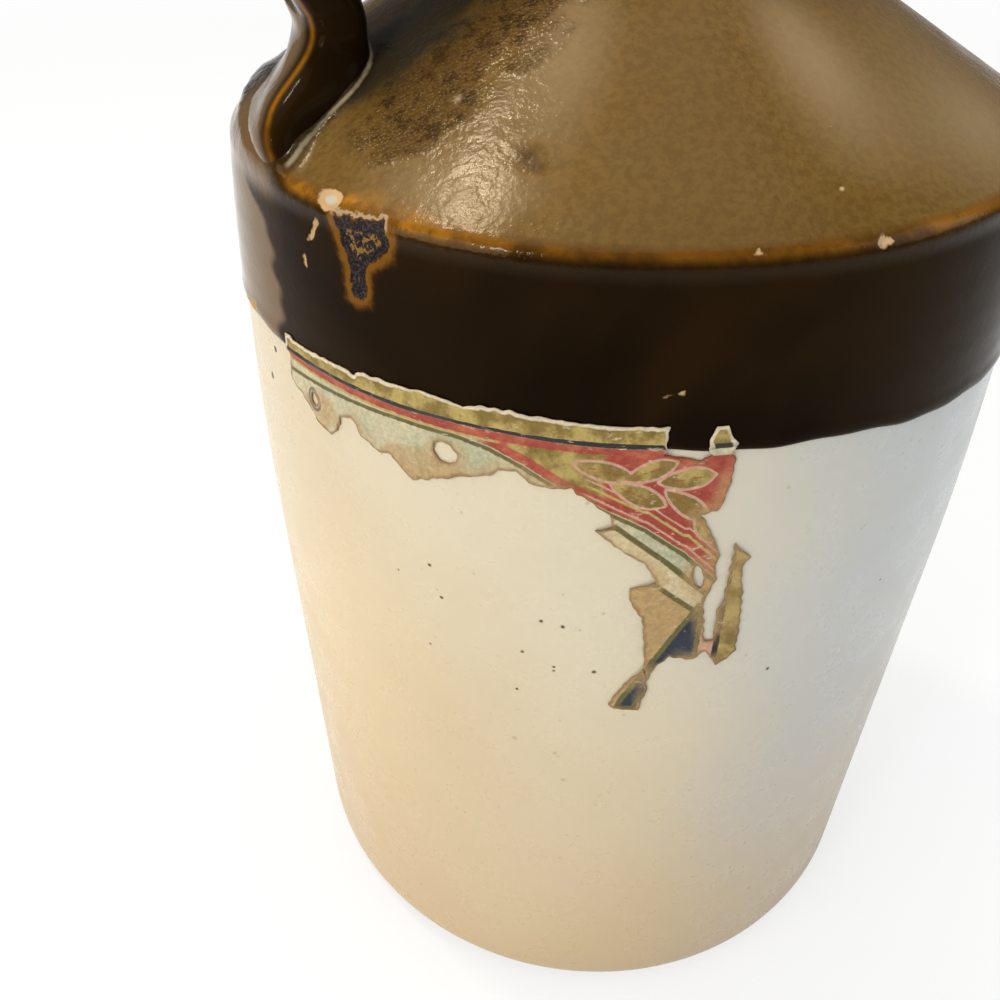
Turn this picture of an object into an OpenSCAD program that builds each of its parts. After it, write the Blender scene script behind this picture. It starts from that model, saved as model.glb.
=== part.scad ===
// Stoneware shoulder jug: a cream wall under a brown shoulder, with a strap handle and a torn paper label.
// Z is up. The origin is the middle of the base. The handle is on the -X side.

/* [Jar] */
// Widest radius, measured over the cream glaze
belly_r = 102; // [94:1:112]
// Height of the arris, the edge where the wall meets the shoulder
arris_h = 260; // [235:1:285]
// How far the wall draws in at the arris
wall_lean = 4; // [2:0.5:6]
// Depth below the arris over which the wall draws in
lean_h = 100; // [80:5:130]
// How much narrower the wall is at the base
base_taper = 1; // [0.5:0.5:3]
// Thickness of the clay wall
wall_t = 7.5; // [6:0.5:9]
// Thickness of the floor
floor_t = 9; // [7:0.5:12]
// Radius of the rounded edge at the base
base_round = 10; // [7:1:13]
// Radius of the inside corner between floor and wall
inner_round = 14; // [9:1:18]
// Depth of the luted joint below the arris
joint_drop = 6; // [5:0.5:9]
// Radius on the arris itself
arris_round = 3; // [2:0.5:4]

/* [Shoulder and neck] */
// Slope of the conical shoulder, in degrees from level
shoulder_slope = 30; // [27:1:33]
// Clay radius of the neck
neck_r = 25; // [23:0.5:28]
// Radius of the hollow curve at the foot of the neck
neck_round = 9; // [6:1:10]
// Height of the neck, from the end of the cone to the underside of the collar
neck_h = 17; // [15:0.5:20]
// Clay radius of the collar
collar_r = 31; // [30:0.5:34]
// Height of the collar
collar_h = 18; // [16:0.5:22]
// Radius on the upper outer edge of the collar
collar_round = 7; // [5:0.5:8]
// Radius on the lower outer edge of the collar
collar_under_round = 3; // [2:0.5:4]
// Radius of the hollow under the collar
collar_hollow = 2.5; // [2.5:0.5:4]
// Clay radius of the mouth
mouth_r = 15; // [13:0.5:16]
// Radius on the inner edge of the mouth
lip_round = 3.5; // [2.5:0.5:4]

/* [Handle] */
// Width of the strap
strap_w = 40; // [34:1:44]
// Thickness of the strap
strap_t = 14; // [12:0.5:15]
// Width of the flared foot where it spreads on the shoulder
foot_w = 76; // [68:1:84]
// Distance from the arris back to the inner face of the strap, measured level
foot_depth = 31.5; // [28:0.5:34]
// Height of the top of the loop above the arris
handle_rise = 64; // [60:1:67]
// Width of the strap where it joins the neck
neck_end_w = 42; // [36:1:46]
// Seam between the handle and what it is luted to
lute_gap = 0.1; // [0.05:0.05:0.2]
// Margin of glaze under the edges of the handle's two ends
glaze_lap = 4; // [3:0.5:5]

/* [Glazes] */
// Thickness of the cream glaze on the wall
cream_t = 0.6; // [0.4:0.1:0.9]
// Thickness of the brown glaze, which stands proud of the cream
brown_t = 1.4; // [1.1:0.1:1.8]
// Thickness of the glaze inside
liner_t = 0.6; // [0.4:0.1:0.9]
// Depth of the glaze line below the arris, at the jug's axis
glaze_drop = 46; // [42:1:52]
// Tilt of the glaze line, from the jug being dipped out of level
glaze_tilt = 5; // [3:0.5:6]
// Direction in which the glaze line is highest, in degrees round from the front
glaze_high_at = -46; // [-60:1:-30]
// Height of the bare ring that the wiped foot leaves
bare_foot_h = 4; // [2:0.5:7]

/* [Label] */
// Width of the whole paper label round the wall
label_w = 115; // [100:1:130]
// Depth of the label's upper edge below the arris
label_drop = 31.5; // [30:0.5:34]
// Height that the scraps reach down to
label_h = 84; // [76:1:90]
// Direction of the label's middle, in degrees round from the front
label_at = -37.5; // [-45:0.5:-30]
// Thickness of the paper
paper_t = 0.3; // [0.2:0.1:0.5]
// Thickness of the dried paste under the paper
paste_t = 0.1; // [0.05:0.05:0.2]

/* [Cork] */
// Length of the cork inside the neck
cork_in = 24; // [18:1:28]
// Length of the cork above its seat
cork_out = 20; // [14:1:26]
// How much the cork narrows from top to bottom, as a radius
cork_taper = 2.6; // [1.5:0.1:3.5]
// Clearance between the cork and the mouth
cork_gap = 0.3; // [0.2:0.1:0.5]
// Bevel on the cork's edges
cork_bevel = 1.2; // [0.8:0.1:1.6]

/* [Hidden] */
$fn = 96;

// One overrun serves every cut
over = 2;
// Height of the bridge of paper over the step in the glaze
bridge_h = 1.2;
round_steps = 6;
lean_steps = 8;

// The clay lies under the glazes
clay_belly_r = belly_r - cream_t;
clay_base_r = clay_belly_r - base_taper;
arris_r = belly_r - wall_lean;
clay_arris_r = arris_r - brown_t;
clay_lean = clay_belly_r - clay_arris_r;
clay_arris_h = arris_h - brown_t * (1 / cos(shoulder_slope) - tan(shoulder_slope));
cone_top = clay_arris_h + (clay_arris_r - neck_r) * tan(shoulder_slope);
collar_z = cone_top + neck_h;
jug_h = collar_z + collar_h;
joint_z = clay_arris_h - joint_drop;
lean_z = clay_arris_h - lean_h;
cone_in_z = clay_arris_h - wall_t * (1 / cos(shoulder_slope) - tan(shoulder_slope));
wall_in_r = clay_arris_r - wall_t;
bore_foot_z = cone_in_z + (wall_in_r - mouth_r) * tan(shoulder_slope);

// Small vector helpers
function unit(v) = v / norm(v);
function right_of(v) = [v[1], -v[0]];
function cross2(a, b) = a[0] * b[1] - a[1] * b[0];
function mix(a, b, t) = a + (b - a) * t;
function backwards(v) = [for (i = [len(v) - 1:-1:0]) v[i]];
function bezier(p, t) =
    pow(1 - t, 3) * p[0] + 3 * pow(1 - t, 2) * t * p[1] + 3 * (1 - t) * t * t * p[2] + pow(t, 3) * p[3];
function bezier_way(p, t) =
    pow(1 - t, 2) * (p[1] - p[0]) + 2 * (1 - t) * t * (p[2] - p[1]) + t * t * (p[3] - p[2]);

// Points of a round of radius r in the corner c, on the way from a to b
function rounded(a, c, b, r, steps = round_steps) =
    let (
        u = unit(a - c),
        v = unit(b - c),
        half = acos(u * v) / 2,
        middle = c + unit(u + v) * r / sin(half),
        first = c + u * r / tan(half) - middle,
        turn = (180 - 2 * half) * sign(cross2(c - a, b - c)),
        from = atan2(first[1], first[0])
    )
    [for (i = [0:steps]) middle + r * [cos(from + turn * i / steps), sin(from + turn * i / steps)]];

// A line of points moved to its right by d, each corner kept sharp
function shifted(p, d) = [
    for (i = [0:len(p) - 1])
        let (
            a = right_of(unit(i > 0 ? p[i] - p[i - 1] : p[1] - p[0])),
            b = right_of(unit(i < len(p) - 1 ? p[i + 1] - p[i] : p[i] - p[i - 1])),
            n = unit(a + b)
        )
        p[i] + n * d / (n * a)
];

// Outer clay line, from the edge of the base up to the mouth
function wall_r(z) = clay_belly_r - clay_lean * pow(max(0, z - lean_z) / lean_h, 2);
base_corner = [clay_base_r, 0];
belly_point = [clay_belly_r, lean_z];
arris_point = [clay_arris_r, clay_arris_h];
neck_foot = [neck_r, cone_top];
collar_in = [neck_r, collar_z];
collar_low = [collar_r, collar_z + collar_hollow];
collar_top = [collar_r, jug_h];
mouth_top = [mouth_r, jug_h];
lip_foot = [mouth_r, jug_h - lip_round];
last_wall = [wall_r(clay_arris_h - lean_h / lean_steps), clay_arris_h - lean_h / lean_steps];
skin = concat(
    rounded([0, 0], base_corner, belly_point, base_round),
    [for (i = [0:lean_steps - 1]) let (z = lean_z + lean_h * i / lean_steps) [wall_r(z), z]],
    rounded(last_wall, arris_point, neck_foot, arris_round, 4),
    rounded(arris_point, neck_foot, collar_in, neck_round),
    rounded(neck_foot, collar_in, collar_low, collar_hollow, 4),
    rounded(collar_in, collar_low, collar_top, collar_under_round),
    rounded(collar_low, collar_top, mouth_top, collar_round),
    rounded(collar_top, mouth_top, lip_foot, lip_round)
);

// Inner clay line, from the middle of the floor up to the mouth
function inner_wall_r(z) = wall_r(z) - wall_t;
floor_middle = [0, floor_t];
floor_corner = [clay_base_r - wall_t, floor_t];
hollow = concat(
    [floor_middle],
    rounded(floor_middle, floor_corner, [inner_wall_r(lean_z), lean_z], inner_round),
    [for (i = [0:lean_steps - 1]) let (z = lean_z + (cone_in_z - lean_z) * i / lean_steps) [inner_wall_r(z), z]],
    [[wall_in_r, cone_in_z]],
    rounded([wall_in_r, cone_in_z], [mouth_r, bore_foot_z], lip_foot, lip_round),
    [lip_foot]
);

// Index of the first skin point on the leaning wall, and of the last one on the cone
wall_from = round_steps + 1;
cone_to = wall_from + lean_steps + 4;
upper_skin = [for (i = [wall_from:len(skin) - 1]) skin[i]];
wall_skin = [for (i = [round_steps:cone_to - 4]) skin[i]];

// A skin between two depths over a line of points
module coat(line, inner, outer) {
    rotate_extrude()
        polygon(concat(shifted(line, inner), backwards(shifted(line, outer))));
}

// Everything inside the outer clay line and a skin over it, for trimming what is luted on to it
module skin_solid(skin_t) {
    line = shifted(skin, skin_t);
    rotate_extrude()
        polygon(concat([[0, 0], [line[0][0], 0]], line, [[0, lip_foot[1]]]));
}

module clay() {
    rotate_extrude()
        polygon(concat([[0, 0]], skin, backwards(hollow)));
}

// The half of space over the tilted glaze line
glaze_z = arris_h - glaze_drop;
module above_glaze_line(lift = 0) {
    rotate([0, 0, glaze_high_at])
        translate([0, 0, glaze_z + lift])
            rotate([-glaze_tilt, 0, 0])
                translate([-2 * belly_r, -2 * belly_r, 0])
                    cube([4 * belly_r, 4 * belly_r, arris_h]);
}

// The strap handle is a loft of rounded sections: up through the flared foot, then along three curves.
// Each point is [distance out from the jug's axis, height above the arris].
// The rows of the foot are shares: height, half width inside, half width outside, then how far out
// the front edge, the middle and the back edge lie. The foot was pressed on with a thumb and leans.
foot_shares = [
    [-0.05, 0.32, 0.9, 0.81, 0.8, 0.5],
    [0.04, 0.32, 1, 0.84, 0.87, 0.55],
    [0.095, 0.39, 0.97, 0.905, 0.81, 0.44],
    [0.14, 0.47, 0.91, 0.89, 0.71, 0.34],
    [0.19, 0.54, 0.79, 0.83, 0.62, 0.28],
    [0.235, 0.55, 0.685, 0.69, 0.545, 0.28],
    [0.28, 0.54, 0.605, 0.555, 0.48, 0.3],
    [0.33, 0.535, 0.57, 0.455, 0.445, 0.35],
    [0.375, 0.535, 0.555, 0.43, 0.46, 0.42],
    [0.42, 0.53, 0.54, 0.47, 0.48, 0.46]
];
foot_rows = len(foot_shares);
foot_in_r = arris_r - foot_depth;
reach = arris_r - neck_r;
top_h = handle_rise - strap_t / 2;
foot_top = [foot_in_r + strap_t / 2, foot_shares[foot_rows - 1][0] * handle_rise];
loop_shares = [[0.77, 0.68], [0.775, 0.8], [0.73, 1], [0.5, 1]];
neck_end_shares = [[0.284, 1], [0.013, 0.9], [-0.263, 0.761]];
function loop_point(s) = [neck_r + s[0] * reach, s[1] * top_h];
rise_curve = [
    foot_top, [foot_top[0] + strap_t / 6, 0.5 * handle_rise], loop_point(loop_shares[0]), loop_point(loop_shares[1])
];
crown_curve = [for (i = [1:3]) loop_point(loop_shares[i])];
neck_curve = concat([crown_curve[2]], [for (s = neck_end_shares) loop_point(s)]);
curve_steps = 8;
row_steps = 2;
section_steps = 28;
// How square a section is: 1 is an ellipse, lower is squarer
strap_square_share = 0.6;
foot_square_share = 0.36;

strap_half = [strap_w / 2, strap_t / 2];
neck_half = [neck_end_w / 2, strap_t / 2];

function power(x, share) = sign(x) * pow(abs(x), share);
function section(middle, way_out, half) = [
    for (k = [0:section_steps - 1])
        let (
            a = 360 * k / section_steps,
            across = half[0] * power(cos(a), strap_square_share),
            out = half[1] * power(sin(a), strap_square_share)
        )
        [-(middle[0] + out * way_out[0]), across, arris_h + middle[1] + out * way_out[1]]
];

// A level section of the foot from a row of shares, at a place from 0 at its bottom to 1 at its top
function foot_section(row, place) =
    let (square = mix(foot_square_share, strap_square_share, place))
    [
        for (k = [0:section_steps - 1])
            let (
                a = 360 * k / section_steps,
                u = power(cos(a), square),
                v = (power(sin(a), square) + 1) / 2,
                bow = (row[3] + row[5]) / 2 - row[4],
                out = row[4] + bow * u * u + (row[5] - row[3]) / 2 * u,
                half_share = mix(row[1], row[2], v)
            )
            [-(foot_in_r + out * foot_depth * v), u * half_share * foot_w / 2, arris_h + row[0] * handle_rise]
    ];
function foot_row(i) = foot_shares[max(0, min(foot_rows - 1, i))];
function smooth_row(i, t) =
    let (a = foot_row(i - 1), b = foot_row(i), c = foot_row(i + 1), d = foot_row(i + 2))
    b + t * (c - a) / 2 + t * t * (a - 2.5 * b + 2 * c - d / 2) + t * t * t * (1.5 * (b - c) + (d - a) / 2);
function loop_section(curve, t, half) = section(bezier(curve, t), right_of(unit(bezier_way(curve, t))), half);
function crown_point(t) = pow(1 - t, 2) * crown_curve[0] + 2 * (1 - t) * t * crown_curve[1] + t * t * crown_curve[2];
function crown_way(t) = (1 - t) * (crown_curve[1] - crown_curve[0]) + t * (crown_curve[2] - crown_curve[1]);
handle_sections = concat(
    [
        for (i = [0:foot_rows - 2])
            for (j = [0:row_steps - 1])
                let (t = j / row_steps)
                foot_section(smooth_row(i, t), (i + t) / (foot_rows - 1))
    ],
    [for (i = [0:curve_steps]) loop_section(rise_curve, i / curve_steps, strap_half)],
    [for (i = [1:curve_steps]) let (t = i / curve_steps)
        section(crown_point(t), right_of(unit(crown_way(t))), strap_half)],
    [for (i = [1:curve_steps])
        loop_section(neck_curve, i / curve_steps, mix(strap_half, neck_half, i / curve_steps))]
);

module handle_loft() {
    rings = len(handle_sections);
    points = [for (ring = handle_sections) for (p = ring) p];
    sides = [
        for (i = [0:rings - 2])
            for (k = [0:section_steps - 1])
                let (a = i * section_steps + k, b = i * section_steps + (k + 1) % section_steps)
                for (f = [[a, b, b + section_steps], [a, b + section_steps, a + section_steps]]) f
    ];
    first = [for (k = [section_steps - 1:-1:0]) k];
    last = [for (k = [0:section_steps - 1]) (rings - 1) * section_steps + k];
    polyhedron(points, concat([first], sides, [last]));
}

// Label outlines in shares: across the label from its left edge, and down from its upper edge.
// The tears run round what is left of the paper.
main_shares = [
    [0, 0.04], [0.12, 0.025], [0.21, 0.03], [0.23, 0.01], [0.36, 0], [0.45, 0.02], [0.6, 0], [0.8, 0.01],
    [0.805, 0.09], [0.87, 0.112], [0.885, 0.09], [0.873, 0.05], [0.887, 0.014], [0.91, 0.014], [0.93, 0.065],
    [0.92, 0.09], [0.932, 0.16], [0.915, 0.25], [0.885, 0.275], [0.91, 0.34], [0.932, 0.4], [0.93, 0.48],
    [0.914, 0.565], [0.925, 0.69], [0.945, 0.7], [0.944, 0.6], [0.955, 0.52], [0.96, 0.37], [0.993, 0.42],
    [0.98, 0.46], [0.99, 0.55], [0.997, 0.74], [0.958, 0.81], [0.935, 0.75], [0.905, 0.785], [0.865, 0.765],
    [0.835, 0.81], [0.815, 0.845], [0.803, 0.66], [0.797, 0.61], [0.76, 0.53], [0.79, 0.495], [0.816, 0.485],
    [0.795, 0.425], [0.74, 0.38], [0.692, 0.325], [0.725, 0.305], [0.715, 0.27], [0.65, 0.205], [0.595, 0.208],
    [0.545, 0.17], [0.5, 0.2], [0.42, 0.232], [0.385, 0.264], [0.335, 0.285], [0.285, 0.23], [0.22, 0.215],
    [0.185, 0.165], [0.155, 0.19], [0.145, 0.235], [0.122, 0.26], [0.08, 0.24], [0.035, 0.19], [0, 0.165]
];
lower_shares = [[0.818, 0.865], [0.8, 0.85], [0.775, 0.88], [0.75, 0.965], [0.765, 1], [0.812, 0.995], [0.828, 0.93]];
// Middle across and down, then half width and half height of the hole worn through the paper
hole_shares = [0.413, 0.16, 0.025, 0.04];

// A share of the label's width as a straight distance beside the line of sight to its middle
function label_x(share) = belly_r * sin((share - 0.5) * label_w / belly_r * 180 / PI);
label_top = arris_h - label_drop;
function label_point(s) = [label_x(s[0]), label_top - s[1] * label_h];

module label_prism() {
    rotate([0, 0, label_at])
        rotate([90, 0, 0])
            translate([0, 0, belly_r / 2])
                linear_extrude(belly_r)
                    children();
}

// Paper pasted on both glazes, with a bridge over the step between them
module paper() {
    paper_on_cream = cream_t + paste_t;
    paper_on_brown = brown_t + paste_t;
    difference() {
        coat(wall_skin, paper_on_cream, paper_on_cream + paper_t);
        above_glaze_line();
    }
    intersection() {
        coat(wall_skin, paper_on_brown, paper_on_brown + paper_t);
        above_glaze_line(-bridge_h);
    }
    intersection() {
        coat(wall_skin, paper_on_cream, paper_on_brown + paper_t);
        difference() {
            above_glaze_line(-bridge_h);
            above_glaze_line();
        }
    }
}

// Inside their edges the handle's two ends go through the glaze and stand on the clay
plug_in_r = foot_in_r + glaze_lap;
plug_out_r = arris_r - foot_depth * 0.4;
module foot_plug(gap = 0) {
    half_in = foot_shares[4][1] * foot_w / 2 - glaze_lap + gap;
    half_out = half_in + glaze_lap;
    translate([0, 0, arris_h - over])
        linear_extrude(handle_rise / 2)
            polygon([
                [-plug_in_r + gap, -half_in], [-plug_in_r + gap, half_in],
                [-plug_out_r - gap, half_out], [-plug_out_r - gap, -half_out]
            ]);
}

module neck_plug(gap = 0) {
    end_way = bezier_way(neck_curve, 1);
    half = neck_half - [glaze_lap, glaze_lap / 2] + [gap, gap];
    translate([-neck_curve[3][0], 0, arris_h + neck_curve[3][1]])
        rotate([0, atan2(-end_way[1], -end_way[0]), 0])
            rotate([90, 0, 90])
                translate([0, 0, -3 * neck_round])
                    linear_extrude(3 * neck_round)
                        polygon([for (p = section([0, 0], [0, 1], half)) [p[1], p[2] - arris_h]]);
}

module jar() {
    color("tan")
        intersection() {
            clay();
            cylinder(h = joint_z, r = 2 * belly_r);
        }
}

module shoulder_and_neck() {
    color("peru")
        difference() {
            clay();
            translate([0, 0, -over])
                cylinder(h = joint_z + over, r = 2 * belly_r);
        }
}

module handle() {
    color("saddlebrown")
        difference() {
            handle_loft();
            skin_solid(lute_gap);
            difference() {
                skin_solid(brown_t + lute_gap);
                foot_plug();
                neck_plug();
            }
        }
}

module brown_glaze_coat() {
    color("sienna")
        difference() {
            intersection() {
                coat(upper_skin, 0, brown_t);
                above_glaze_line();
            }
            foot_plug(lute_gap);
            neck_plug(lute_gap);
        }
}

module cream_glaze_coat() {
    color("antiquewhite")
        difference() {
            coat(concat([for (i = [0:round_steps - 1]) skin[i]], wall_skin), 0, cream_t);
            above_glaze_line();
            translate([0, 0, -over])
                cylinder(h = bare_foot_h + over, r = 2 * belly_r);
        }
}

module liner_glaze_coat() {
    color("rosybrown")
        coat(hollow, -liner_t, 0);
}

module label_main_scrap() {
    color("goldenrod")
        difference() {
            intersection() {
                paper();
                label_prism()
                    polygon([for (s = main_shares) label_point(s)]);
            }
            label_prism()
                translate(label_point([hole_shares[0], hole_shares[1]]))
                    scale([hole_shares[2] * label_w / (hole_shares[3] * label_h), 1])
                        circle(r = hole_shares[3] * label_h);
        }
}

module label_lower_scrap() {
    color("midnightblue")
        intersection() {
            paper();
            label_prism()
                polygon([for (s = lower_shares) label_point(s)]);
        }
}

// The cork seats at the narrowest part of the glazed lip
cork_seat_z = jug_h - lip_round;
cork_seat_r = mouth_r - brown_t - cork_gap;
cork_h = cork_in + cork_out;
cork_low_r = cork_seat_r - cork_taper * cork_in / cork_h;
cork_high_r = cork_seat_r + cork_taper * cork_out / cork_h;
module cork() {
    color("burlywood")
        translate([0, 0, cork_seat_z - cork_in])
            rotate_extrude()
                polygon([
                    [0, 0], [cork_low_r - cork_bevel, 0], [cork_low_r, cork_bevel],
                    [cork_high_r, cork_h - cork_bevel], [cork_high_r - cork_bevel, cork_h], [0, cork_h]
                ]);
}

jar();
shoulder_and_neck();
handle();
brown_glaze_coat();
cream_glaze_coat();
liner_glaze_coat();
label_main_scrap();
label_lower_scrap();
cork();
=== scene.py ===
import bpy, math
import numpy as np
from mathutils import Matrix, Vector
from mathutils.geometry import delaunay_2d_cdt


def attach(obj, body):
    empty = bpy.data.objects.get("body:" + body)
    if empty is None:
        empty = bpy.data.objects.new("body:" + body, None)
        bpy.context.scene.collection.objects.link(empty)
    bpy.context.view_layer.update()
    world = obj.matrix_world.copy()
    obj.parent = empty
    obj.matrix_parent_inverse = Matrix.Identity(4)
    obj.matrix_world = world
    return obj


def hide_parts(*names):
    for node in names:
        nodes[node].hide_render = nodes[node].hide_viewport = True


# Stoneware shoulder jug. Metres, Z up, handle on the -X side. Angles go round from the front, towards +X.
# Sizes in the dictionaries are in mm unless a note says otherwise.
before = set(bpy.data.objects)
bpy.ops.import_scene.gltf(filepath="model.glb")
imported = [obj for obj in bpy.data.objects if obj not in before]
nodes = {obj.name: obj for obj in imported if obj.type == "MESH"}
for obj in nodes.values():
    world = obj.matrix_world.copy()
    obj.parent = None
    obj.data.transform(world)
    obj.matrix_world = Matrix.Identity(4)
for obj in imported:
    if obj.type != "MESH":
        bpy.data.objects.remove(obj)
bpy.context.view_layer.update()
mm = 0.001
fullTurn = 2 * math.pi
rng = np.random.default_rng(7)


# The camera that took the photograph: place and line of sight in metres, roll in radians
camera = {
    "at": (-0.1073, -0.2301, 0.3321), "looks": (0.2355, 0.7410, -0.6288), "roll": -0.006,
    "lens": 34.7, "sensor": 36.0, "clip": (0.01, 50),
}


def makeCamera():
    looks = Vector(camera["looks"]).normalized()
    side = looks.cross(Vector((0, 0, 1))).normalized()
    up = side.cross(looks)
    side = side * math.cos(camera["roll"]) + up * math.sin(camera["roll"])
    up = side.cross(looks)
    data = bpy.data.cameras.new("photoCamera")
    data.lens, data.sensor_width = camera["lens"], camera["sensor"]
    data.clip_start, data.clip_end = camera["clip"]
    obj = bpy.data.objects.new("photoCamera", data)
    turn = Matrix((side, up, -looks)).transposed().to_4x4()
    turn.translation = Vector(camera["at"])
    obj.matrix_world = turn
    bpy.context.scene.collection.objects.link(obj)
    bpy.context.scene.camera = obj


# The nodes of one shader, in short words. What is fed to a socket is a value or another node's output.
class Wiring:
    def __init__(self, tree):
        self.tree = tree

    def add(self, kind):
        return self.tree.nodes.new(kind)

    def feed(self, socket, value):
        if isinstance(value, bpy.types.NodeSocket):
            self.tree.links.new(value, socket)
        elif isinstance(value, (tuple, list)) and len(value) == 3 and socket.type == "RGBA":
            socket.default_value = (*value, 1)
        else:
            socket.default_value = value

    def place(self):
        return self.add("ShaderNodeTexCoord").outputs["Object"]

    def axes(self, vector):
        n = self.add("ShaderNodeSeparateXYZ")
        self.feed(n.inputs[0], vector)
        return tuple(n.outputs)

    def painted(self, name):
        n = self.add("ShaderNodeAttribute")
        n.attribute_name = name
        return n.outputs["Fac"]

    def math(self, what, a, b, clamp=False):
        n = self.add("ShaderNodeMath")
        n.operation, n.use_clamp = what, clamp
        self.feed(n.inputs[0], a)
        self.feed(n.inputs[1], b)
        return n.outputs[0]

    def plus(self, a, b):
        return self.math("ADD", a, b)

    def minus(self, a, b):
        return self.math("SUBTRACT", a, b)

    def times(self, a, b, clamp=False):
        return self.math("MULTIPLY", a, b, clamp)

    def over(self, a, b):
        return self.math("DIVIDE", a, b)

    def most(self, a, b):
        return self.math("MAXIMUM", a, b)

    def least(self, a, b):
        return self.math("MINIMUM", a, b)

    # a noise as a push to either side
    def push(self, noise, size):
        return self.times(self.minus(noise, 0.5), size)

    def vector(self, what, a, b=None):
        n = self.add("ShaderNodeVectorMath")
        n.operation = what
        self.feed(n.inputs[0], a)
        if b is not None:
            self.feed(n.inputs["Scale" if what == "SCALE" else 1], b)
        return n.outputs["Vector" if what in ("SUBTRACT", "SCALE") else "Value"]

    # a soft step from low to high
    def span(self, value, low, high, outLow=0.0, outHigh=1.0, smooth=True):
        n = self.add("ShaderNodeMapRange")
        n.interpolation_type = "SMOOTHSTEP" if smooth else "LINEAR"
        for i, v in enumerate((value, low, high, outLow, outHigh)):
            self.feed(n.inputs[i], v)
        return n.outputs[0]

    # a soft step up, then a soft step down
    def strip(self, value, low, high, highEnd, lowEnd):
        return self.times(self.span(value, low, high), self.span(value, highEnd, lowEnd))

    def mixValue(self, factor, a, b):
        n = self.add("ShaderNodeMix")
        n.data_type = "FLOAT"
        for i, v in ((0, factor), (2, a), (3, b)):
            self.feed(n.inputs[i], v)
        return n.outputs[0]

    def mix(self, factor, a, b, how="MIX"):
        n = self.add("ShaderNodeMix")
        n.data_type, n.blend_type = "RGBA", how
        for i, v in ((0, factor), (6, a), (7, b)):
            self.feed(n.inputs[i], v)
        return n.outputs[2]

    # a tint laid over a colour where the mask lets it through
    def lay(self, under, mask, tint, amount=None):
        if amount is not None:
            mask = self.times(mask, amount)
        return self.mix(mask, under, tint)

    def grey(self, value):
        n = self.add("ShaderNodeCombineColor")
        for i in range(3):
            self.feed(n.inputs[i], value)
        return n.outputs[0]

    def stretched(self, vector, scale):
        n = self.add("ShaderNodeMapping")
        self.feed(n.inputs["Vector"], vector)
        n.inputs["Scale"].default_value = scale
        return n.outputs[0]

    def noise(self, vector, scale, detail=3.0, rough=0.5, warp=0.0):
        n = self.add("ShaderNodeTexNoise")
        self.feed(n.inputs["Vector"], vector)
        for k, v in (("Scale", scale), ("Detail", detail), ("Roughness", rough), ("Distortion", warp)):
            n.inputs[k].default_value = v
        return n.outputs["Fac"]

    def noises(self, vector, look, *names):
        return [self.noise(vector, *look[name]) for name in names]

    # distance from the middle of the nearest cell
    def cells(self, vector, scale):
        n = self.add("ShaderNodeTexVoronoi")
        self.feed(n.inputs["Vector"], vector)
        n.inputs["Scale"].default_value = scale
        return n.outputs["Distance"]

    # distance from the nearest of some spots, as a share of that spot's own size
    def nearest(self, vector, spots):
        best = None
        for point, size in spots:
            share = self.over(self.vector("DISTANCE", vector, point), size)
            best = share if best is None else self.least(best, share)
        return best

    # the surface itself, with bumps that are finer than the mesh
    def skin(self, colour, rough, shine, height, bump, more=()):
        n = self.add("ShaderNodeBump")
        n.inputs["Distance"].default_value = bump
        self.feed(n.inputs["Height"], height)
        surface = self.tree.nodes["Principled BSDF"].inputs
        self.feed(surface["Base Color"], colour)
        self.feed(surface["Roughness"], rough)
        self.feed(surface["Specular IOR Level"], shine)
        self.feed(surface["Normal"], n.outputs[0])
        for name, value in more:
            self.feed(surface[name], value)

    # the paler shader stands in for the other where the camera sees it, as far as the share says
    def shownAs(self, output, shader, paler, share=None):
        path = self.add("ShaderNodeLightPath")
        seen = self.most(path.outputs["Is Camera Ray"], path.outputs["Is Transmission Ray"])
        mix = self.add("ShaderNodeMixShader")
        for i, v in enumerate((seen if share is None else self.times(seen, share), shader, paler)):
            self.feed(mix.inputs[i], v)
        self.feed(output.inputs["Surface"], mix.outputs[0])


def newMaterial(name):
    mat = bpy.data.materials.new(name)
    mat.use_nodes = True
    return mat, Wiring(mat.node_tree)


def dress(obj, mat):
    obj.data.materials.clear()
    obj.data.materials.append(mat)


# The jug's own sizes. The glaze's edge dips away from where it is highest, in degrees, and ripples:
# size, waves round the jug and shift of each ripple.
jug = {
    "bellyR": 102.0, "arrisR": 98.0, "arrisH": 260.0, "leanH": 100.0, "baseTaper": 1.0, "baseRound": 10.0,
    "arrisRound": 3.0, "slope": 30.0, "neckR": 25.0, "neckRound": 9.0, "neckH": 17.0, "collarR": 31.0,
    "collarH": 18.0, "collarRound": 7.0, "collarUnder": 3.0, "collarHollow": 2.5, "mouthR": 15.0,
    "lipRound": 3.5, "creamT": 0.6, "brownT": 1.4, "glazeDrop": 46.0, "glazeTilt": 5.0, "glazeHighAt": -46.0,
    "glazeRipple": [(0.35, 9, 1.1), (0.28, 17, 0.4), (0.16, 41, 2.0)], "bareFoot": 4.0,
}
tanSlope = math.tan(math.radians(jug["slope"]))
skew = 1 / math.cos(math.radians(jug["slope"])) - tanSlope
clayBelly = jug["bellyR"] - jug["creamT"]
clayArrisR = jug["arrisR"] - jug["brownT"]
clayArrisH = jug["arrisH"] - jug["brownT"] * skew
leanZ = clayArrisH - jug["leanH"]
coneTop = clayArrisH + (clayArrisR - jug["neckR"]) * tanSlope
collarZ = coneTop + jug["neckH"]
jugH = collarZ + jug["collarH"]


def smooth01(x):
    x = np.clip(x, 0, 1)
    return x * x * (3 - 2 * x)


def risesFrom(x, start, over):
    return smooth01((x - start) / over)


def fallsTo(x, end, over):
    return smooth01((end - x) / over)


def bell(x, middle, width):
    return np.exp(-((x - middle) / width) ** 2)


def degreesOf(phi):
    return np.degrees((phi + math.pi) % fullTurn - math.pi)


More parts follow.
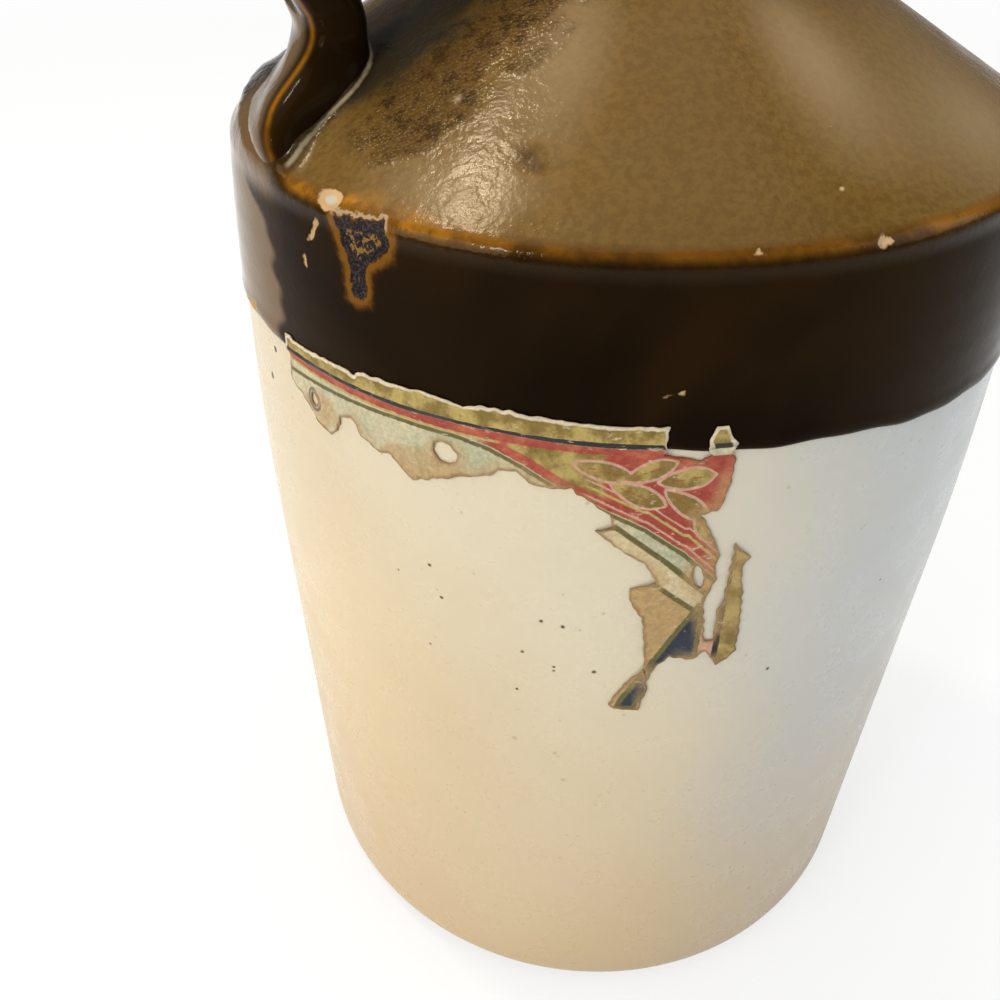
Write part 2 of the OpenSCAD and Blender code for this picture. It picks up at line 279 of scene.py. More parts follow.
def wallR(z):
    return clayBelly - (clayBelly - clayArrisR) * (np.clip(z - leanZ, 0, None) / jug["leanH"]) ** 2


# Arc that rounds the corner c between a and b
def cornerArc(a, c, b, r, steps):
    a, c, b = map(np.array, (a, c, b))
    u, v = (a - c) / np.linalg.norm(a - c), (b - c) / np.linalg.norm(b - c)
    half = math.acos(float(u @ v)) / 2
    mid = c + (u + v) / np.linalg.norm(u + v) * r / math.sin(half)
    first = c + u * r / math.tan(half) - mid
    cross = (c - a)[0] * (b - c)[1] - (c - a)[1] * (b - c)[0]
    turn = (math.pi - 2 * half) * np.sign(cross)
    start = math.atan2(first[1], first[0])
    angles = [start + turn * i / steps for i in range(steps + 1)]
    return [mid + r * np.array([math.cos(t), math.sin(t)]) for t in angles]


def resampled(points, gap):
    points = np.array(points, float)
    keep = [points[0]]
    for a, b in zip(points[:-1], points[1:]):
        n = max(1, int(round(np.linalg.norm(b - a) / gap)))
        keep += [a + (b - a) * k / n for k in range(1, n + 1)]
    return np.array(keep)


def lineNormals(line):
    way = np.gradient(line, axis=0)
    way /= np.linalg.norm(way, axis=1)[:, None]
    return np.stack([way[:, 1], -way[:, 0]], -1)


# Clay line over the arris: the wall's last centimetres, cone, neck, collar and mouth
def upperLine(fromZ):
    wallTop, leaning = clayArrisH - 3.5, clayArrisH - 12
    corners = [
        (float(wallR(leaning)), leaning), (clayArrisR, clayArrisH), (jug["neckR"], coneTop),
        (jug["neckR"], collarZ), (jug["collarR"], collarZ + jug["collarHollow"]), (jug["collarR"], jugH),
        (jug["mouthR"], jugH), (jug["mouthR"], jugH - jug["lipRound"]),
    ]
    rounds = {
        "arrisRound": 8, "neckRound": 14, "collarHollow": 6,
        "collarUnder": 10, "collarRound": 18, "lipRound": 10,
    }
    points = [(float(wallR(z)), z) for z in np.linspace(fromZ, wallTop, 10)]
    for i, (name, steps) in enumerate(rounds.items()):
        points += cornerArc(*corners[i:i + 3], jug[name], steps)
    return resampled(points, 1.15)


# Slow bumps that close on themselves round the jug
waves = [
    (int(k), rng.uniform(0.02, 0.16), rng.uniform(0, 6.28), rng.uniform(0.4, 1))
    for k in rng.integers(2, 22, 18)
]


def lumps(phi, z):
    total = 0
    for k, kz, shift, size in waves:
        total = total + size * np.sin(k * phi + kz * z + shift) / (1 + k * 0.12)
    return total / 5.5


# Height of the edge of the brown glaze
def glazeLine(phi):
    tilt = math.tan(math.radians(jug["glazeTilt"])) * jug["bellyR"]
    level = jug["arrisH"] - jug["glazeDrop"] + tilt * np.cos(phi - math.radians(jug["glazeHighAt"]))
    return level + sum(size * np.sin(count * phi + shift) for size, count, shift in jug["glazeRipple"])


# Columns are closer together on the side with the label
def columnAngles(fine, coarse):
    a = np.linspace(-105, 45, fine, endpoint=False)
    b = np.linspace(45, 255, coarse, endpoint=False)
    return np.radians(np.concatenate([a, b]))


def meshFrom(name, points, faces, attributes=None):
    mesh = bpy.data.meshes.new(name)
    mesh.from_pydata(np.asarray(points).tolist(), [], faces)
    mesh.update()
    mesh.polygons.foreach_set("use_smooth", [True] * len(mesh.polygons))
    for key, values in (attributes or {}).items():
        layer = mesh.attributes.new(key, "FLOAT", "POINT")
        layer.data.foreach_set("value", np.asarray(values, np.float32).ravel())
    obj = bpy.data.objects.new(name, mesh)
    bpy.context.scene.collection.objects.link(obj)
    return obj


def gridFaces(rows, columns, closedRows=False):
    i = np.arange(rows if closedRows else rows - 1)[:, None]
    j = np.arange(columns)[None, :]
    nextI, nextJ = (i + 1) % rows, (j + 1) % columns
    quads = np.stack([i * columns + j, i * columns + nextJ, nextI * columns + nextJ, nextI * columns + j], -1)
    return quads.reshape(-1, 4).tolist()


def roundJug(phi, r, z):
    return np.stack([r * np.sin(phi), -r * np.cos(phi), z], -1) * mm


# Rows of a coat, each with its radius, height and outward way: on the wall they follow the glaze's edge
def wallRows(z):
    return wallR(z), z, np.ones_like(z), np.zeros_like(z)


def levelRows(line, phi):
    normal = lineNormals(line)
    return [np.repeat(column[:, None], len(phi), 1) for column in (*line.T, *normal.T)]


def joinedRows(lower, upper):
    return [np.concatenate(pair) for pair in zip(lower, upper)]


def pathUp(r, z):
    steps = np.hypot(np.diff(r, axis=0), np.diff(z, axis=0))
    return np.concatenate([np.zeros((1, r.shape[1])), np.cumsum(steps, 0)])


# The coat's face, closed by a coarser back that is sunk a little into the clay
def closedCoat(outer, angle, r, z, nr, nz, sunk=0.02):
    rows = len(z)
    pick = np.unique(np.concatenate([np.arange(0, rows, 3), [rows - 1]]))[::-1]
    inner = roundJug(angle[pick], (r - nr * sunk)[pick], (z - nz * sunk)[pick])
    points = np.concatenate([outer.reshape(-1, 3), inner.reshape(-1, 3)])
    return points, gridFaces(rows + len(pick), angle.shape[1], closedRows=True)


# Signed distance from a closed outline, below zero inside
def outlineDistance(points, outline):
    p = np.asarray(points, float)
    v = np.asarray(outline, float)
    best = np.full(len(p), 1e9)
    inside = np.zeros(len(p), bool)
    for a, b in zip(v, np.roll(v, -1, 0)):
        e, w = b - a, p - a
        t = np.clip((w @ e) / (e @ e), 0, 1)
        best = np.minimum(best, np.hypot(*(w - t[:, None] * e).T))
        crosses = ((a[1] > p[:, 1]) != (b[1] > p[:, 1]))
        with np.errstate(divide="ignore", invalid="ignore"):
            inside ^= crosses & (p[:, 0] < e[0] * (p[:, 1] - a[1]) / (e[1] if e[1] else 1e-9) + a[0])
    return np.where(inside, -best, best)


# Marks in the brown glaze, in degrees round the jug and mm up from the arris along its line
flaws = {
    "chip": (-60.2, 1.3, 3.3, 1.7),       # middle, radius, how much wider than high
    "blister": [
        (-58.6, -0.8), (-55.0, -0.3), (-51.4, 0.2), (-50.3, -2.0), (-50.5, -4.4), (-52.1, -6.4),
        (-53.7, -8.4), (-54.0, -15.2), (-55.8, -15.4), (-56.1, -9.0), (-57.3, -5.0),
    ],
    # the other places where the glaze came off
    "bare": [
        [(-80.5, -36.5), (-84, -39.5), (-92, -47.5), (-93, -44), (-86, -36), (-81, -33.5)],
        [
            (-61.7, -2.5), (-61.0, -2.9), (-61.8, -5.0), (-62.4, -7.3), (-63.6, -8.0), (-63.0, -6.6),
            (-62.3, -4.8),
        ],
        [(-64.7, -11.4), (-64.2, -11.2), (-63.9, -13.6), (-64.3, -13.4)],
        [(4.8, 24.8), (5.7, 25.2), (5.3, 26.4)],
        [(1.4, 11.0), (2.6, 11.3), (2.2, 12.3)],
        [(-10.9, 0.5), (-10.2, 1.3), (-9.5, 0.4)],
        [(3.0, 0.2), (4.2, 1.2), (5.2, 0.0), (4.0, -0.5)],
        [(-18.9, -25.3), (-18.2, -24.7), (-17.7, -25.0), (-18.3, -25.5)],
        [(-17.3, -24.7), (-16.5, -24.2), (-16.6, -24.8)],
    ],
    "pressed": (-110, 15, 1.1),           # degrees, half width in degrees, depth
}
brownCoat = {
    "columns": (500, 300), "wallRows": 54, "wallTop": 248.0, "rowPower": 1.15,
    "rimT": 0.45, "rimRound": 1.5, "bead": 0.16, "beadAt": 2.6, "beadWide": 1.5,
    "lump": 0.10, "ripple": 0.012, "chipDeep": 0.85, "bareDeep": 0.6, "scabDeep": 0.25, "scabRough": 0.22,
    "fillet": 1.5, "filletReach": 1.5, "ledge": 1.3, "ledgeReach": 2.4,
    "footBox": (-52, 56), "farAway": 60.0, "unmarked": 9,
    # where each change starts or ends, and over how much, in mm or, round the jug, in degrees
    "topFade": 1, "rimFade": 4, "chipEdge": (0.6, 1.5), "scabEdge": (0.8, 2), "bareEdge": (0.2, 1.2),
    "filletUp": (-2, 4), "pressedUp": (1, 9), "ledgeLeft": (80, 6), "ledgeUp": (-2, 3),
    "footLeft": (76, 8), "footNear": (11, 5), "footRound": (-69, 5),
    "shoulderUp": (-0.6, 3.0), "creaseFront": (6, 8), "creaseUp": (1, 1.5),
    # waves: how often, how far bent by the other way's wave, and how often that one comes
    "rippleOften": 0.9, "scabRound": (3.1, 1.3, 2.3), "scabUp": (2.9, 1.7, 1.9),
    # the amber line on the arris: its height, its width below and above, and how it widens at the chip
    "amberUp": 0.7, "amberLow": 0.95, "amberHigh": 0.9, "amberMore": 2.7, "amberChip": (-53, 8),
    "amberOutTo": (-67, 4), "amberOutFrom": (-116, 8), "rimMarkWide": 0.7,
    "bright": 0.22, "brighter": [(0.72, -56, 15), (0.25, 12, 14)],
    # the painted sheen at the left end of the band, a reflection painted lighter into its colour:
    # its wavy edge, its lean and where it fades out
    "sheenWaves": [(0.9, 0.33, 1), (0.5, 0.9, 0)], "sheenLean": 10, "sheenLeanUp": (-16, 16),
    "sheenEdge": (-70.5, 2.2), "sheenBack": (-14, 16), "sheenBehind": 0.06, "sheenFootUp": (-6, 6),
    "sheenRight": 0.12, "sheenRightEdge": (65, 50),
}


# Where the handle's foot stands on the glazed cone, as an outline in plan
def footOutline():
    rings, *_ = handleRings()
    fromAxis = np.hypot(rings[:, :, 0], rings[:, :, 1])
    over = rings[:, :, 2] - (jug["arrisH"] + (jug["arrisR"] - fromAxis) * tanSlope)
    footRings = (len(handle["rowShares"]) - 1) * handle["rowSteps"]
    first = np.argmax(over[:footRings] > 0, axis=0)
    columns = np.arange(rings.shape[1])
    a, b = over[first - 1, columns], over[first, columns]
    t = (a / (a - b))[:, None]
    return (rings[first - 1, columns] * (1 - t) + rings[first, columns] * t)[:, :2]


def fromFoot(phi, r):
    flat = np.stack([r * np.sin(phi), -r * np.cos(phi)], -1).reshape(-1, 2)
    away = np.full(len(flat), brownCoat["farAway"])
    left, half = brownCoat["footBox"]
    near = (flat[:, 0] < left) & (np.abs(flat[:, 1]) < half)
    away[near] = outlineDistance(flat[near], footOutline())
    return away.reshape(phi.shape)


# How far the glaze stands over its even thickness, and the distances that its marks are painted by
def bentWave(x, y, often, bend, bendOften):
    return np.sin(x * often + bend * np.sin(y * bendOften))


def brownField(phi, r, z, along):
    c = brownCoat
    deg = degreesOf(phi)
    toArc = math.pi / 180 * jug["arrisR"]
    arc = deg * toArc
    flat = np.stack([arc, along], -1).reshape(-1, 2)

    def fromMark(outline):
        return outlineDistance(flat, [(a * toArc, b) for a, b in outline]).reshape(phi.shape)

    chipDeg, chipUp, chipR, wider = flaws["chip"]
    chip = np.hypot(arc - chipDeg * toArc, (along - chipUp) * wider) - chipR
    blister = fromMark(flaws["blister"])
    bareMark = np.min([fromMark(outline) for outline in flaws["bare"]], axis=0)
    lift = c["lump"] * lumps(phi, z) + c["ripple"] * np.sin(z * c["rippleOften"] + 2 * np.sin(3 * phi))
    lift = lift - c["chipDeep"] * fallsTo(chip, *c["chipEdge"])
    rough = bentWave(arc, along, *c["scabRound"]) * bentWave(along, arc, *c["scabUp"])
    scab = fallsTo(blister, *c["scabEdge"]) * (c["scabRough"] * rough - c["scabDeep"])
    lift = lift + np.where(blister < 1, scab, 0)
    lift = lift - c["bareDeep"] * fallsTo(bareMark, *c["bareEdge"])
    # the glaze gathers round the handle's foot, and the wall is pressed in behind it
    away = np.clip(fromFoot(phi, r), 0, None)
    fillet = c["fillet"] * np.exp(-away / c["filletReach"]) * risesFrom(along, *c["filletUp"])
    lift = lift + np.where(along > c["filletUp"][0], fillet, 0)
    at, wide, deep = flaws["pressed"]
    lift = lift - deep * bell(deg, at, wide) * bell(along, *c["pressedUp"])
    return lift, chip, blister, bareMark, away


def buildBrownGlaze():
    c = brownCoat
    phi = columnAngles(*c["columns"])
    line = upperLine(c["wallTop"])
    low = glazeLine(phi)
    # rows are closer together at the glaze's edge
    k = (np.arange(c["wallRows"]) / c["wallRows"])[:, None] ** c["rowPower"]
    r, z, nr, nz = joinedRows(wallRows(low + (c["wallTop"] - low) * k), levelRows(line, phi))
    path = pathUp(r, z)
    arrisRow = c["wallRows"] + int(np.argmin(np.hypot(line[:, 0] - clayArrisR, line[:, 1] - clayArrisH)))
    along = path - path[arrisRow]
    angle = np.repeat(phi[None, :], len(z), 0)
    deg = degreesOf(angle)
    lift, chip, blister, bareMark, away = brownField(angle, r, z, along)
    rounding = np.sqrt(1 - (1 - np.clip(path / c["rimRound"], 0, 1)) ** 2)
    rim = c["rimT"] + (jug["brownT"] - c["rimT"]) * rounding
    fade = fallsTo(path, path[-1], c["topFade"]) * risesFrom(path, 0, c["rimFade"])
    t = rim + c["bead"] * bell(path, c["beadAt"], c["beadWide"]) + lift * fade
    # outside the foot the glaze fills up the ledge between it and the arris
    toLeft = -r * np.sin(angle)
    ledge = risesFrom(toLeft, *c["ledgeLeft"]) * risesFrom(along, *c["ledgeUp"])
    outer = roundJug(angle, r + nr * t, z + nz * t + c["ledge"] * ledge * bell(away, 0, c["ledgeReach"]))
    points, faces = closedCoat(outer, angle, r, z, nr, nz)
    toFront = -outer[:, :, 1] / mm

    # the thin amber line on the arris is wider at the chip, and goes out behind the handle
    spread = c["amberHigh"] + c["amberMore"] * bell(deg, *c["amberChip"])
    arrisMark = bell(along, c["amberUp"], np.where(along > c["amberUp"], spread, c["amberLow"]))
    arrisMark = arrisMark * (1 - fallsTo(deg, *c["amberOutTo"]) * risesFrom(deg, *c["amberOutFrom"]))
    bright = c["bright"]
    for size, at, wide in c["brighter"]:
        bright = bright + size * bell(deg, at, wide)
    atFoot = risesFrom(toLeft, *c["footLeft"]) * fallsTo(away, *c["footNear"])
    atFoot = atFoot * fallsTo(deg, *c["footRound"])
    shoulder = risesFrom(along, *c["shoulderUp"]) * (1 - atFoot)
    # where the painted highlight along the edge of the handle's foot shows: on the front only
    crease = risesFrom(toFront, *c["creaseFront"]) * risesFrom(along, *c["creaseUp"]) * (1 - atFoot)
    # the painted sheen at the left end of the band, a reflection painted lighter into its colour,
    # fades out behind the handle
    wavy = deg
    for size, often, shift in c["sheenWaves"]:
        wavy = wavy + size * np.sin(along * often + shift)
    wavy = wavy + c["sheenLean"] * risesFrom(along, *c["sheenLeanUp"])
    fades = risesFrom(toFront, *c["sheenBack"])
    paintedSheen = fallsTo(wavy, *c["sheenEdge"]) * (c["sheenBehind"] + (1 - c["sheenBehind"]) * fades)
    paintedSheen = np.maximum(paintedSheen, c["sheenRight"] * risesFrom(wavy, *c["sheenRightEdge"]))
    # the painted sheen goes on over the glaze beside the outside of the handle's foot
    paintedSheen = np.maximum(paintedSheen, atFoot * risesFrom(along, *c["sheenFootUp"]) * fades)
    tone = sum(
        size * bell(deg, at, wide) * bell(along, up, high)
        for at, up, wide, high, size in brownLook["tones"]
    )
    far, unmarked = c["farAway"], c["unmarked"]
    fields = {
        "arrisMark": (arrisMark, 0), "shoulder": (shoulder, 0),
        "rimMark": (bell(path, 0, c["rimMarkWide"]), 0),
        "chip": (chip, unmarked), "blister": (blister, unmarked), "bareMark": (bareMark, unmarked),
        "along": (along, 0), "bright": (bright, 0), "paintedSheen": (paintedSheen, 0), "tone": (tone, 0),
        "away": (away, far), "crease": (crease, 0),
    }
    return meshFrom("brownGlaze", points, faces, {
        name: np.concatenate([face.ravel(), np.full(len(points) - face.size, back)])
        for name, (face, back) in fields.items()
    })


# Colour, gloss and grain of the brown slip glaze; the handle shares them.
# A grain is its scale, detail, roughness and warp. A tone above zero paints highlights and reflections
# lighter onto the shoulder, and a tone below zero darkens it: degrees, mm up from the arris, half widths,
# amount.
brownLook = {
    "band": (0.0060, 0.0028, 0.0010), "bandWarm": (0.017, 0.0080, 0.0020),
    # the shoulder's tan and olive are partly the glaze's own colour and partly a painted reflection of the
    # light from above
    "shoulder": (0.152, 0.079, 0.0155), "shoulderDark": (0.066, 0.031, 0.0055),
    "shoulderOlive": (0.147, 0.083, 0.019), "shoulderHighlight": (0.33, 0.235, 0.125),
    # the dark green is a painted reflection of the handle on the cone
    "fleck": (0.040, 0.018, 0.0036), "handleReflection": (0.020, 0.017, 0.010),
    "amber": (0.41, 0.165, 0.010), "amberDeep": (0.050, 0.015, 0.0018), "halo": (0.17, 0.068, 0.007),
    "scab": (0.020, 0.015, 0.018), "scabPale": (0.07, 0.055, 0.05), "scabBits": (0.26, 0.14, 0.035),
    "chipClay": (0.50, 0.33, 0.17), "chipWarm": (0.42, 0.24, 0.10), "chipGrey": (0.44, 0.40, 0.30),
    # the two sheen colours are painted reflections
    "paintedSheen": (0.125, 0.070, 0.0260), "handlePaintedSheen": (0.17, 0.104, 0.046), "rimHighlight": (0.62, 0.52, 0.36),
    # the crease colour is a painted highlight
    "crease": (0.50, 0.40, 0.24), "tint": (1.0, 0.82, 0.58),
    "level": 0.16, "bandLevel": 0.03, "sheenLevel": 0.10, "bump": 0.00048, "handleBump": 0.00024,
    "broad": (14, 3, 0.55, 0.4), "mid": (90, 4, 0.6), "fine": (620, 3, 0.6), "grit": (1700, 2, 0.6),
    "flecks": (260, 4, 0.72), "blisterEdge": (420, 4, 0.65), "bits": (700, 3, 0.6), "chipEdge": (500, 3, 0.6),
    "pebbles": 1250, "patchShares": (0.7, 0.3), "bandRough": 0.05, "bareRough": 0.75,
    # where each colour or mark starts and is full, how much of it there is, how far the grain pushes
    # its edge, and how high each grain stands
    "at": {
        "patch": (0.42, 0.60), "dark": (0.38, 0.62), "pebbles": (0.15, 0.6, 0.25, 0.95),
        "fleck": (0.50, 0.60), "halo": (3.2, 0.8), "rimLight": (0.15, 0.4, 1.1, 0.7), "rimUp": (-1.1, -0.3),
        "scab": (0.25, -0.25), "scabPale": (0.45, 0.7), "bits": (0.50, 0.56), "bitsIn": (-1.5, -2.1),
        "chip": (0.25, -0.25), "chipWarm": (0.35, 0.65), "chipGrey": (-1.2, -2.2),
        "bandWarm": (0.4, 0.65), "darkAtFoot": (3.4, 1.0), "creaseGrain": (0.34, 0.54, 0.15, 1.0),
        "creaseLine": (0.55, 1.05, 1.9, 1.2), "edgeGrain": (0.3, 0.62, 0.35, 1.15),
        "brightGrain": (0.36, 0.6, 0.25, 1.0), "rough": (0.3, 0.7, 0.15, 0.25),
        "glossUp": (-4.5, -1.0), "reliefUp": (-5.0, 2.0, 0.25, 1.0),
    },
    "much": {
        "dark": 0.35, "pebbles": 0.72, "fleck": 0.85, "handleReflection": 0.92, "halo": 0.9, "rimLight": 0.4,
        "crease": 0.52, "rim": 0.5,
    },
    "push": {"blister": 3.2, "chip": 1.6, "darkAtFoot": 2.0, "crease": 0.5},
    "up": {"mid": 0.9, "fine": 0.18, "pebbles": 0.6, "grit": 2.2},
    "tones": [
        (-36, 44, 8, 22, 0.38), (-44, 9, 10, 8, 0.34), (-14, 28, 15, 30, -0.22), (9, 42, 9, 22, 0.55),
        (36, 30, 30, 40, 0.2), (34, 14, 13, 16, 0.4), (-10, 4, 24, 7, -0.25),
        (-37.6, 19.6, 1.7, 2.0, -1.35), (-35.8, 17.2, 1.3, 1.2, -1.0), (-52.0, 30, 0.8, 0.9, 1.7),
    ],
}
# Stretches of the cone, in metres: the dark pebbly run beside the handle, and the painted reflection of the
# handle, dark green, at its foot.
# Both ends, half width, how ragged.
stretches = {
    "pebbles": ((-0.066, -0.0385, 0.2735), (-0.026, -0.0255, 0.293), 0.0120, 0.034),
    "handleReflection": ((-0.070, -0.0185, 0.275), (-0.042, -0.0125, 0.290), 0.0125, 0.014),
}


def stretchMask(g, where, mid, name):
    a, b, half, ragged = stretches[name]
    a, b = Vector(a), Vector(b)
    way = (b - a).normalized()
    fromA = g.vector("SUBTRACT", where, a)
    t = g.least(g.most(g.vector("DOT_PRODUCT", fromA, way), 0.0), (b - a).length)
    off = g.vector("DISTANCE", fromA, g.vector("SCALE", way, t))
    return g.span(g.plus(off, g.push(mid, -ragged)), half * 1.25, half * 0.5)


# The cone: patches, lighter tones that are painted highlights and reflections, darker tones, the dark pebbles
# with their flecks, and the painted dark reflection of the handle
def shoulderColour(g, where, broad, mid, fine, pebbleAt, pebbles):
    look, at, much = brownLook, brownLook["at"], brownLook["much"]
    ofBroad, ofMid = look["patchShares"]
    patch = g.span(g.plus(g.times(broad, ofBroad), g.times(mid, ofMid)), *at["patch"])
    # tan and olive: partly the glaze's own colour, partly a painted reflection of the light from above
    colour = g.mix(patch, look["shoulder"], look["shoulderOlive"])
    colour = g.lay(colour, g.span(fine, *at["dark"]), look["shoulderDark"], much["dark"])
    tone = g.painted("tone")
    # tones above zero paint highlights and reflections onto the shoulder
    colour = g.lay(colour, g.most(tone, 0.0), look["shoulderHighlight"])
    colour = g.lay(colour, g.least(tone, 0.0), look["shoulderDark"], -1.0)
    pebbleShade = g.times(pebbleAt, g.span(pebbles, *at["pebbles"]))
    colour = g.lay(colour, pebbleShade, look["shoulderDark"], much["pebbles"])
    fleck = g.times(pebbleAt, g.span(g.noise(where, *look["flecks"]), *at["fleck"]))
    colour = g.lay(colour, fleck, look["fleck"], much["fleck"])
    # a painted reflection of the handle's dark side, dark green, on the cone beside its foot
    return g.lay(colour, stretchMask(g, where, mid, "handleReflection"), look["handleReflection"], much["handleReflection"])


# A rough black scab in an amber halo, with a painted highlight as a pale edge along its top on the arris
def layBlister(g, where, colour, along, grit):
    look, at, much = brownLook, brownLook["at"], brownLook["much"]
    ragged = g.push(g.noise(where, *look["blisterEdge"]), look["push"]["blister"])
    blister = g.plus(g.painted("blister"), ragged)
    halo = g.span(blister, *at["halo"])
    colour = g.lay(colour, halo, g.mix(halo, look["amberDeep"], look["halo"]), much["halo"])
    # a painted highlight: a pale edge along the top of the scab
    rimLight = g.times(g.strip(blister, *at["rimLight"]), g.span(along, *at["rimUp"]))
    colour = g.lay(colour, rimLight, look["rimHighlight"], much["rimLight"])
    scab = g.span(blister, *at["scab"])
    scabColour = g.mix(g.span(grit, *at["scabPale"]), look["scab"], look["scabPale"])
    bits = g.span(g.noise(where, *look["bits"]), *at["bits"])
    bits = g.times(bits, g.span(g.painted("blister"), *at["bitsIn"]))
    scabColour = g.lay(scabColour, bits, look["scabBits"])
    return g.lay(colour, scab, scabColour), scab


# Bare clay where the glaze came off
def layChips(g, where, colour, mid):
    look, at = brownLook, brownLook["at"]
    chip = g.least(g.painted("chip"), g.painted("bareMark"))
    ragged = g.push(g.noise(where, *look["chipEdge"]), look["push"]["chip"])
    chip = g.span(g.plus(chip, ragged), *at["chip"])
    clay = g.mix(g.span(mid, *at["chipWarm"]), look["chipClay"], look["chipWarm"])
    clay = g.lay(clay, g.span(g.painted("chip"), *at["chipGrey"]), look["chipGrey"])
    return g.lay(colour, chip, clay), chip


def brownMaterial():
    mat, g = newMaterial("brownGlaze")
    look, at, much, push, up = brownLook, *(brownLook[k] for k in ("at", "much", "push", "up"))
    where = g.place()
    broad, mid, fine, grit = g.noises(where, look, "broad", "mid", "fine", "grit")
    shoulder, along, away, paintedSheen = (g.painted(name) for name in ("shoulder", "along", "away", "paintedSheen"))
    pebbleAt = stretchMask(g, where, mid, "pebbles")
    pebbles = g.cells(where, look["pebbles"])
    colour = g.mix(g.span(broad, *at["bandWarm"]), look["band"], look["bandWarm"])
    colour = g.lay(colour, shoulder, shoulderColour(g, where, broad, mid, fine, pebbleAt, pebbles))
    # darker round the handle's foot, with a pale line a millimetre off it that is a painted highlight
    darkAtFoot = g.span(g.plus(away, g.push(mid, push["darkAtFoot"])), *at["darkAtFoot"])
    colour = g.lay(colour, darkAtFoot, look["bandWarm"])
    # painted highlight: a pale line a millimetre off the foot, on the front only
    crease = g.times(g.painted("crease"), g.span(mid, *at["creaseGrain"]))
    crease = g.times(crease, g.strip(g.plus(away, g.push(fine, push["crease"])), *at["creaseLine"]))
    colour = g.lay(colour, crease, look["crease"], much["crease"])
    # painted sheen: a reflection painted lighter into the band's colour, away from the shoulder
    colour = g.lay(colour, paintedSheen, look["paintedSheen"], g.minus(1.0, shoulder))
    # the glaze ran thin over the arris and at its lower edge
    edgeNoise = g.span(g.plus(g.times(mid, 0.5), g.times(fine, 0.5)), *at["edgeGrain"])
    edge = g.times(g.painted("arrisMark"), edgeNoise, clamp=True)
    bright = g.times(g.painted("bright"), g.span(mid, *at["brightGrain"]))
    colour = g.lay(colour, edge, g.mix(bright, look["amberDeep"], look["amber"]))
    colour = g.lay(colour, g.painted("rimMark"), look["amberDeep"], much["rim"])
    colour, scab = layBlister(g, where, colour, along, grit)
    colour, chip = layChips(g, where, colour, mid)
    rough = g.mixValue(shoulder, look["bandRough"], g.span(mid, *at["rough"]))
    rough = g.mixValue(g.most(scab, chip), rough, look["bareRough"])
    gloss = g.mixValue(paintedSheen, look["bandLevel"], look["sheenLevel"])
    gloss = g.mixValue(g.span(along, *at["glossUp"]), gloss, look["level"])
    height = g.plus(g.times(mid, up["mid"]), g.times(fine, up["fine"]))
    height = g.times(height, g.span(along, *at["reliefUp"]))
    height = g.plus(height, g.times(g.times(pebbleAt, pebbles), up["pebbles"]))
    height = g.plus(height, g.times(scab, g.times(grit, up["grit"])))
    g.skin(colour, rough, gloss, height, look["bump"], [("Specular Tint", look["tint"])])
    return mat


def strapMaterial():
    mat, g = newMaterial("handleGlaze")
    look = brownLook
    where = g.place()
    broad, mid, fine = g.noises(where, look, "broad", "mid", "fine")
    ridge, paintedSheen = g.painted("ridge"), g.painted("paintedSheen")
    colour = g.mix(g.span(broad, 0.35, 0.7), look["band"], look["bandWarm"])
    # the glaze ran thin and amber along the ridges
    colour = g.lay(colour, ridge, look["amberDeep"], 0.8)
    colour = g.lay(colour, g.times(ridge, g.span(mid, 0.35, 0.6, 0.35, 1.0)), look["amber"], 0.62)
    # painted sheen: a reflection painted lighter into the front of the strap's outside
    colour = g.lay(colour, paintedSheen, look["handlePaintedSheen"], 0.8)
    gloss = g.mixValue(paintedSheen, look["bandLevel"], look["sheenLevel"])
    pebbleAt = stretchMask(g, where, mid, "pebbles")
    pebbles = g.times(g.times(pebbleAt, g.cells(where, look["pebbles"])), 0.6)
    height = g.plus(g.plus(g.times(mid, 0.9), g.times(fine, 0.18)), pebbles)
    rough = g.span(mid, 0.3, 0.7, 0.06, 0.14)
    g.skin(colour, rough, gloss, height, look["handleBump"], [("Specular Tint", look["tint"])])
    return mat


# The cream glaze on the wall. It runs on a little way under the brown.
creamCoat = {
    "columns": (440, 260), "wallRows": 60, "under": 0.9, "footEdge": 1.6, "footWander": 0.4,
    "lump": 0.05, "ripple": 0.018, "thinner": 0.06, "leastT": 0.02,
    "baseSteps": 14, "fineStep": 0.8, "wallStep": 2.2, "rippleWave": (1.25, 1.4, 2),
    # how the wiped edge wanders: how far, how often round the jug, and its start
    "wander": [(0.6, 5, 0.7), (0.4, 13, 0), (0.25, 29, 2)],
}


def buildCreamGlaze():
    c = creamCoat
    phi = columnAngles(*c["columns"])
    clayBase = clayBelly - jug["baseTaper"]
    base = cornerArc((0, 0), (clayBase, 0), (clayBelly, leanZ), jug["baseRound"], c["baseSteps"])
    base = [p for p in resampled(base, c["fineStep"]) if p[1] >= jug["bareFoot"] - c["fineStep"]]
    low = resampled(base + [np.array([clayBelly, leanZ])], c["wallStep"])
    share = (np.arange(1, c["wallRows"] + 1) / c["wallRows"])[:, None]
    zWall = leanZ + (glazeLine(phi) + c["under"] - leanZ) * share
    r, z, nr, nz = joinedRows(levelRows(low, phi), wallRows(zWall))
    angle = np.repeat(phi[None, :], len(z), 0)
    # the foot was wiped by hand, so the edge of the glaze wanders a little
    wander = sum(size * np.sin(count * phi + shift) for size, count, shift in c["wander"])
    wander = wander[None, :] * c["footWander"]
    edge = np.clip((pathUp(r, z) - c["fineStep"] - wander) / c["footEdge"], 0, 1)
    t = jug["creamT"] * np.sqrt(1 - (1 - edge) ** 2) + c["lump"] * lumps(angle, z) * edge
    t = t + (c["ripple"] * bentWave(z, phi, *c["rippleWave"]) - c["thinner"]) * edge
    t = np.maximum(t, c["leastT"])
    outer = roundJug(angle, r + nr * t, z + nz * t)
    return meshFrom("creamGlaze", *closedCoat(outer, angle, r, z, nr, nz))


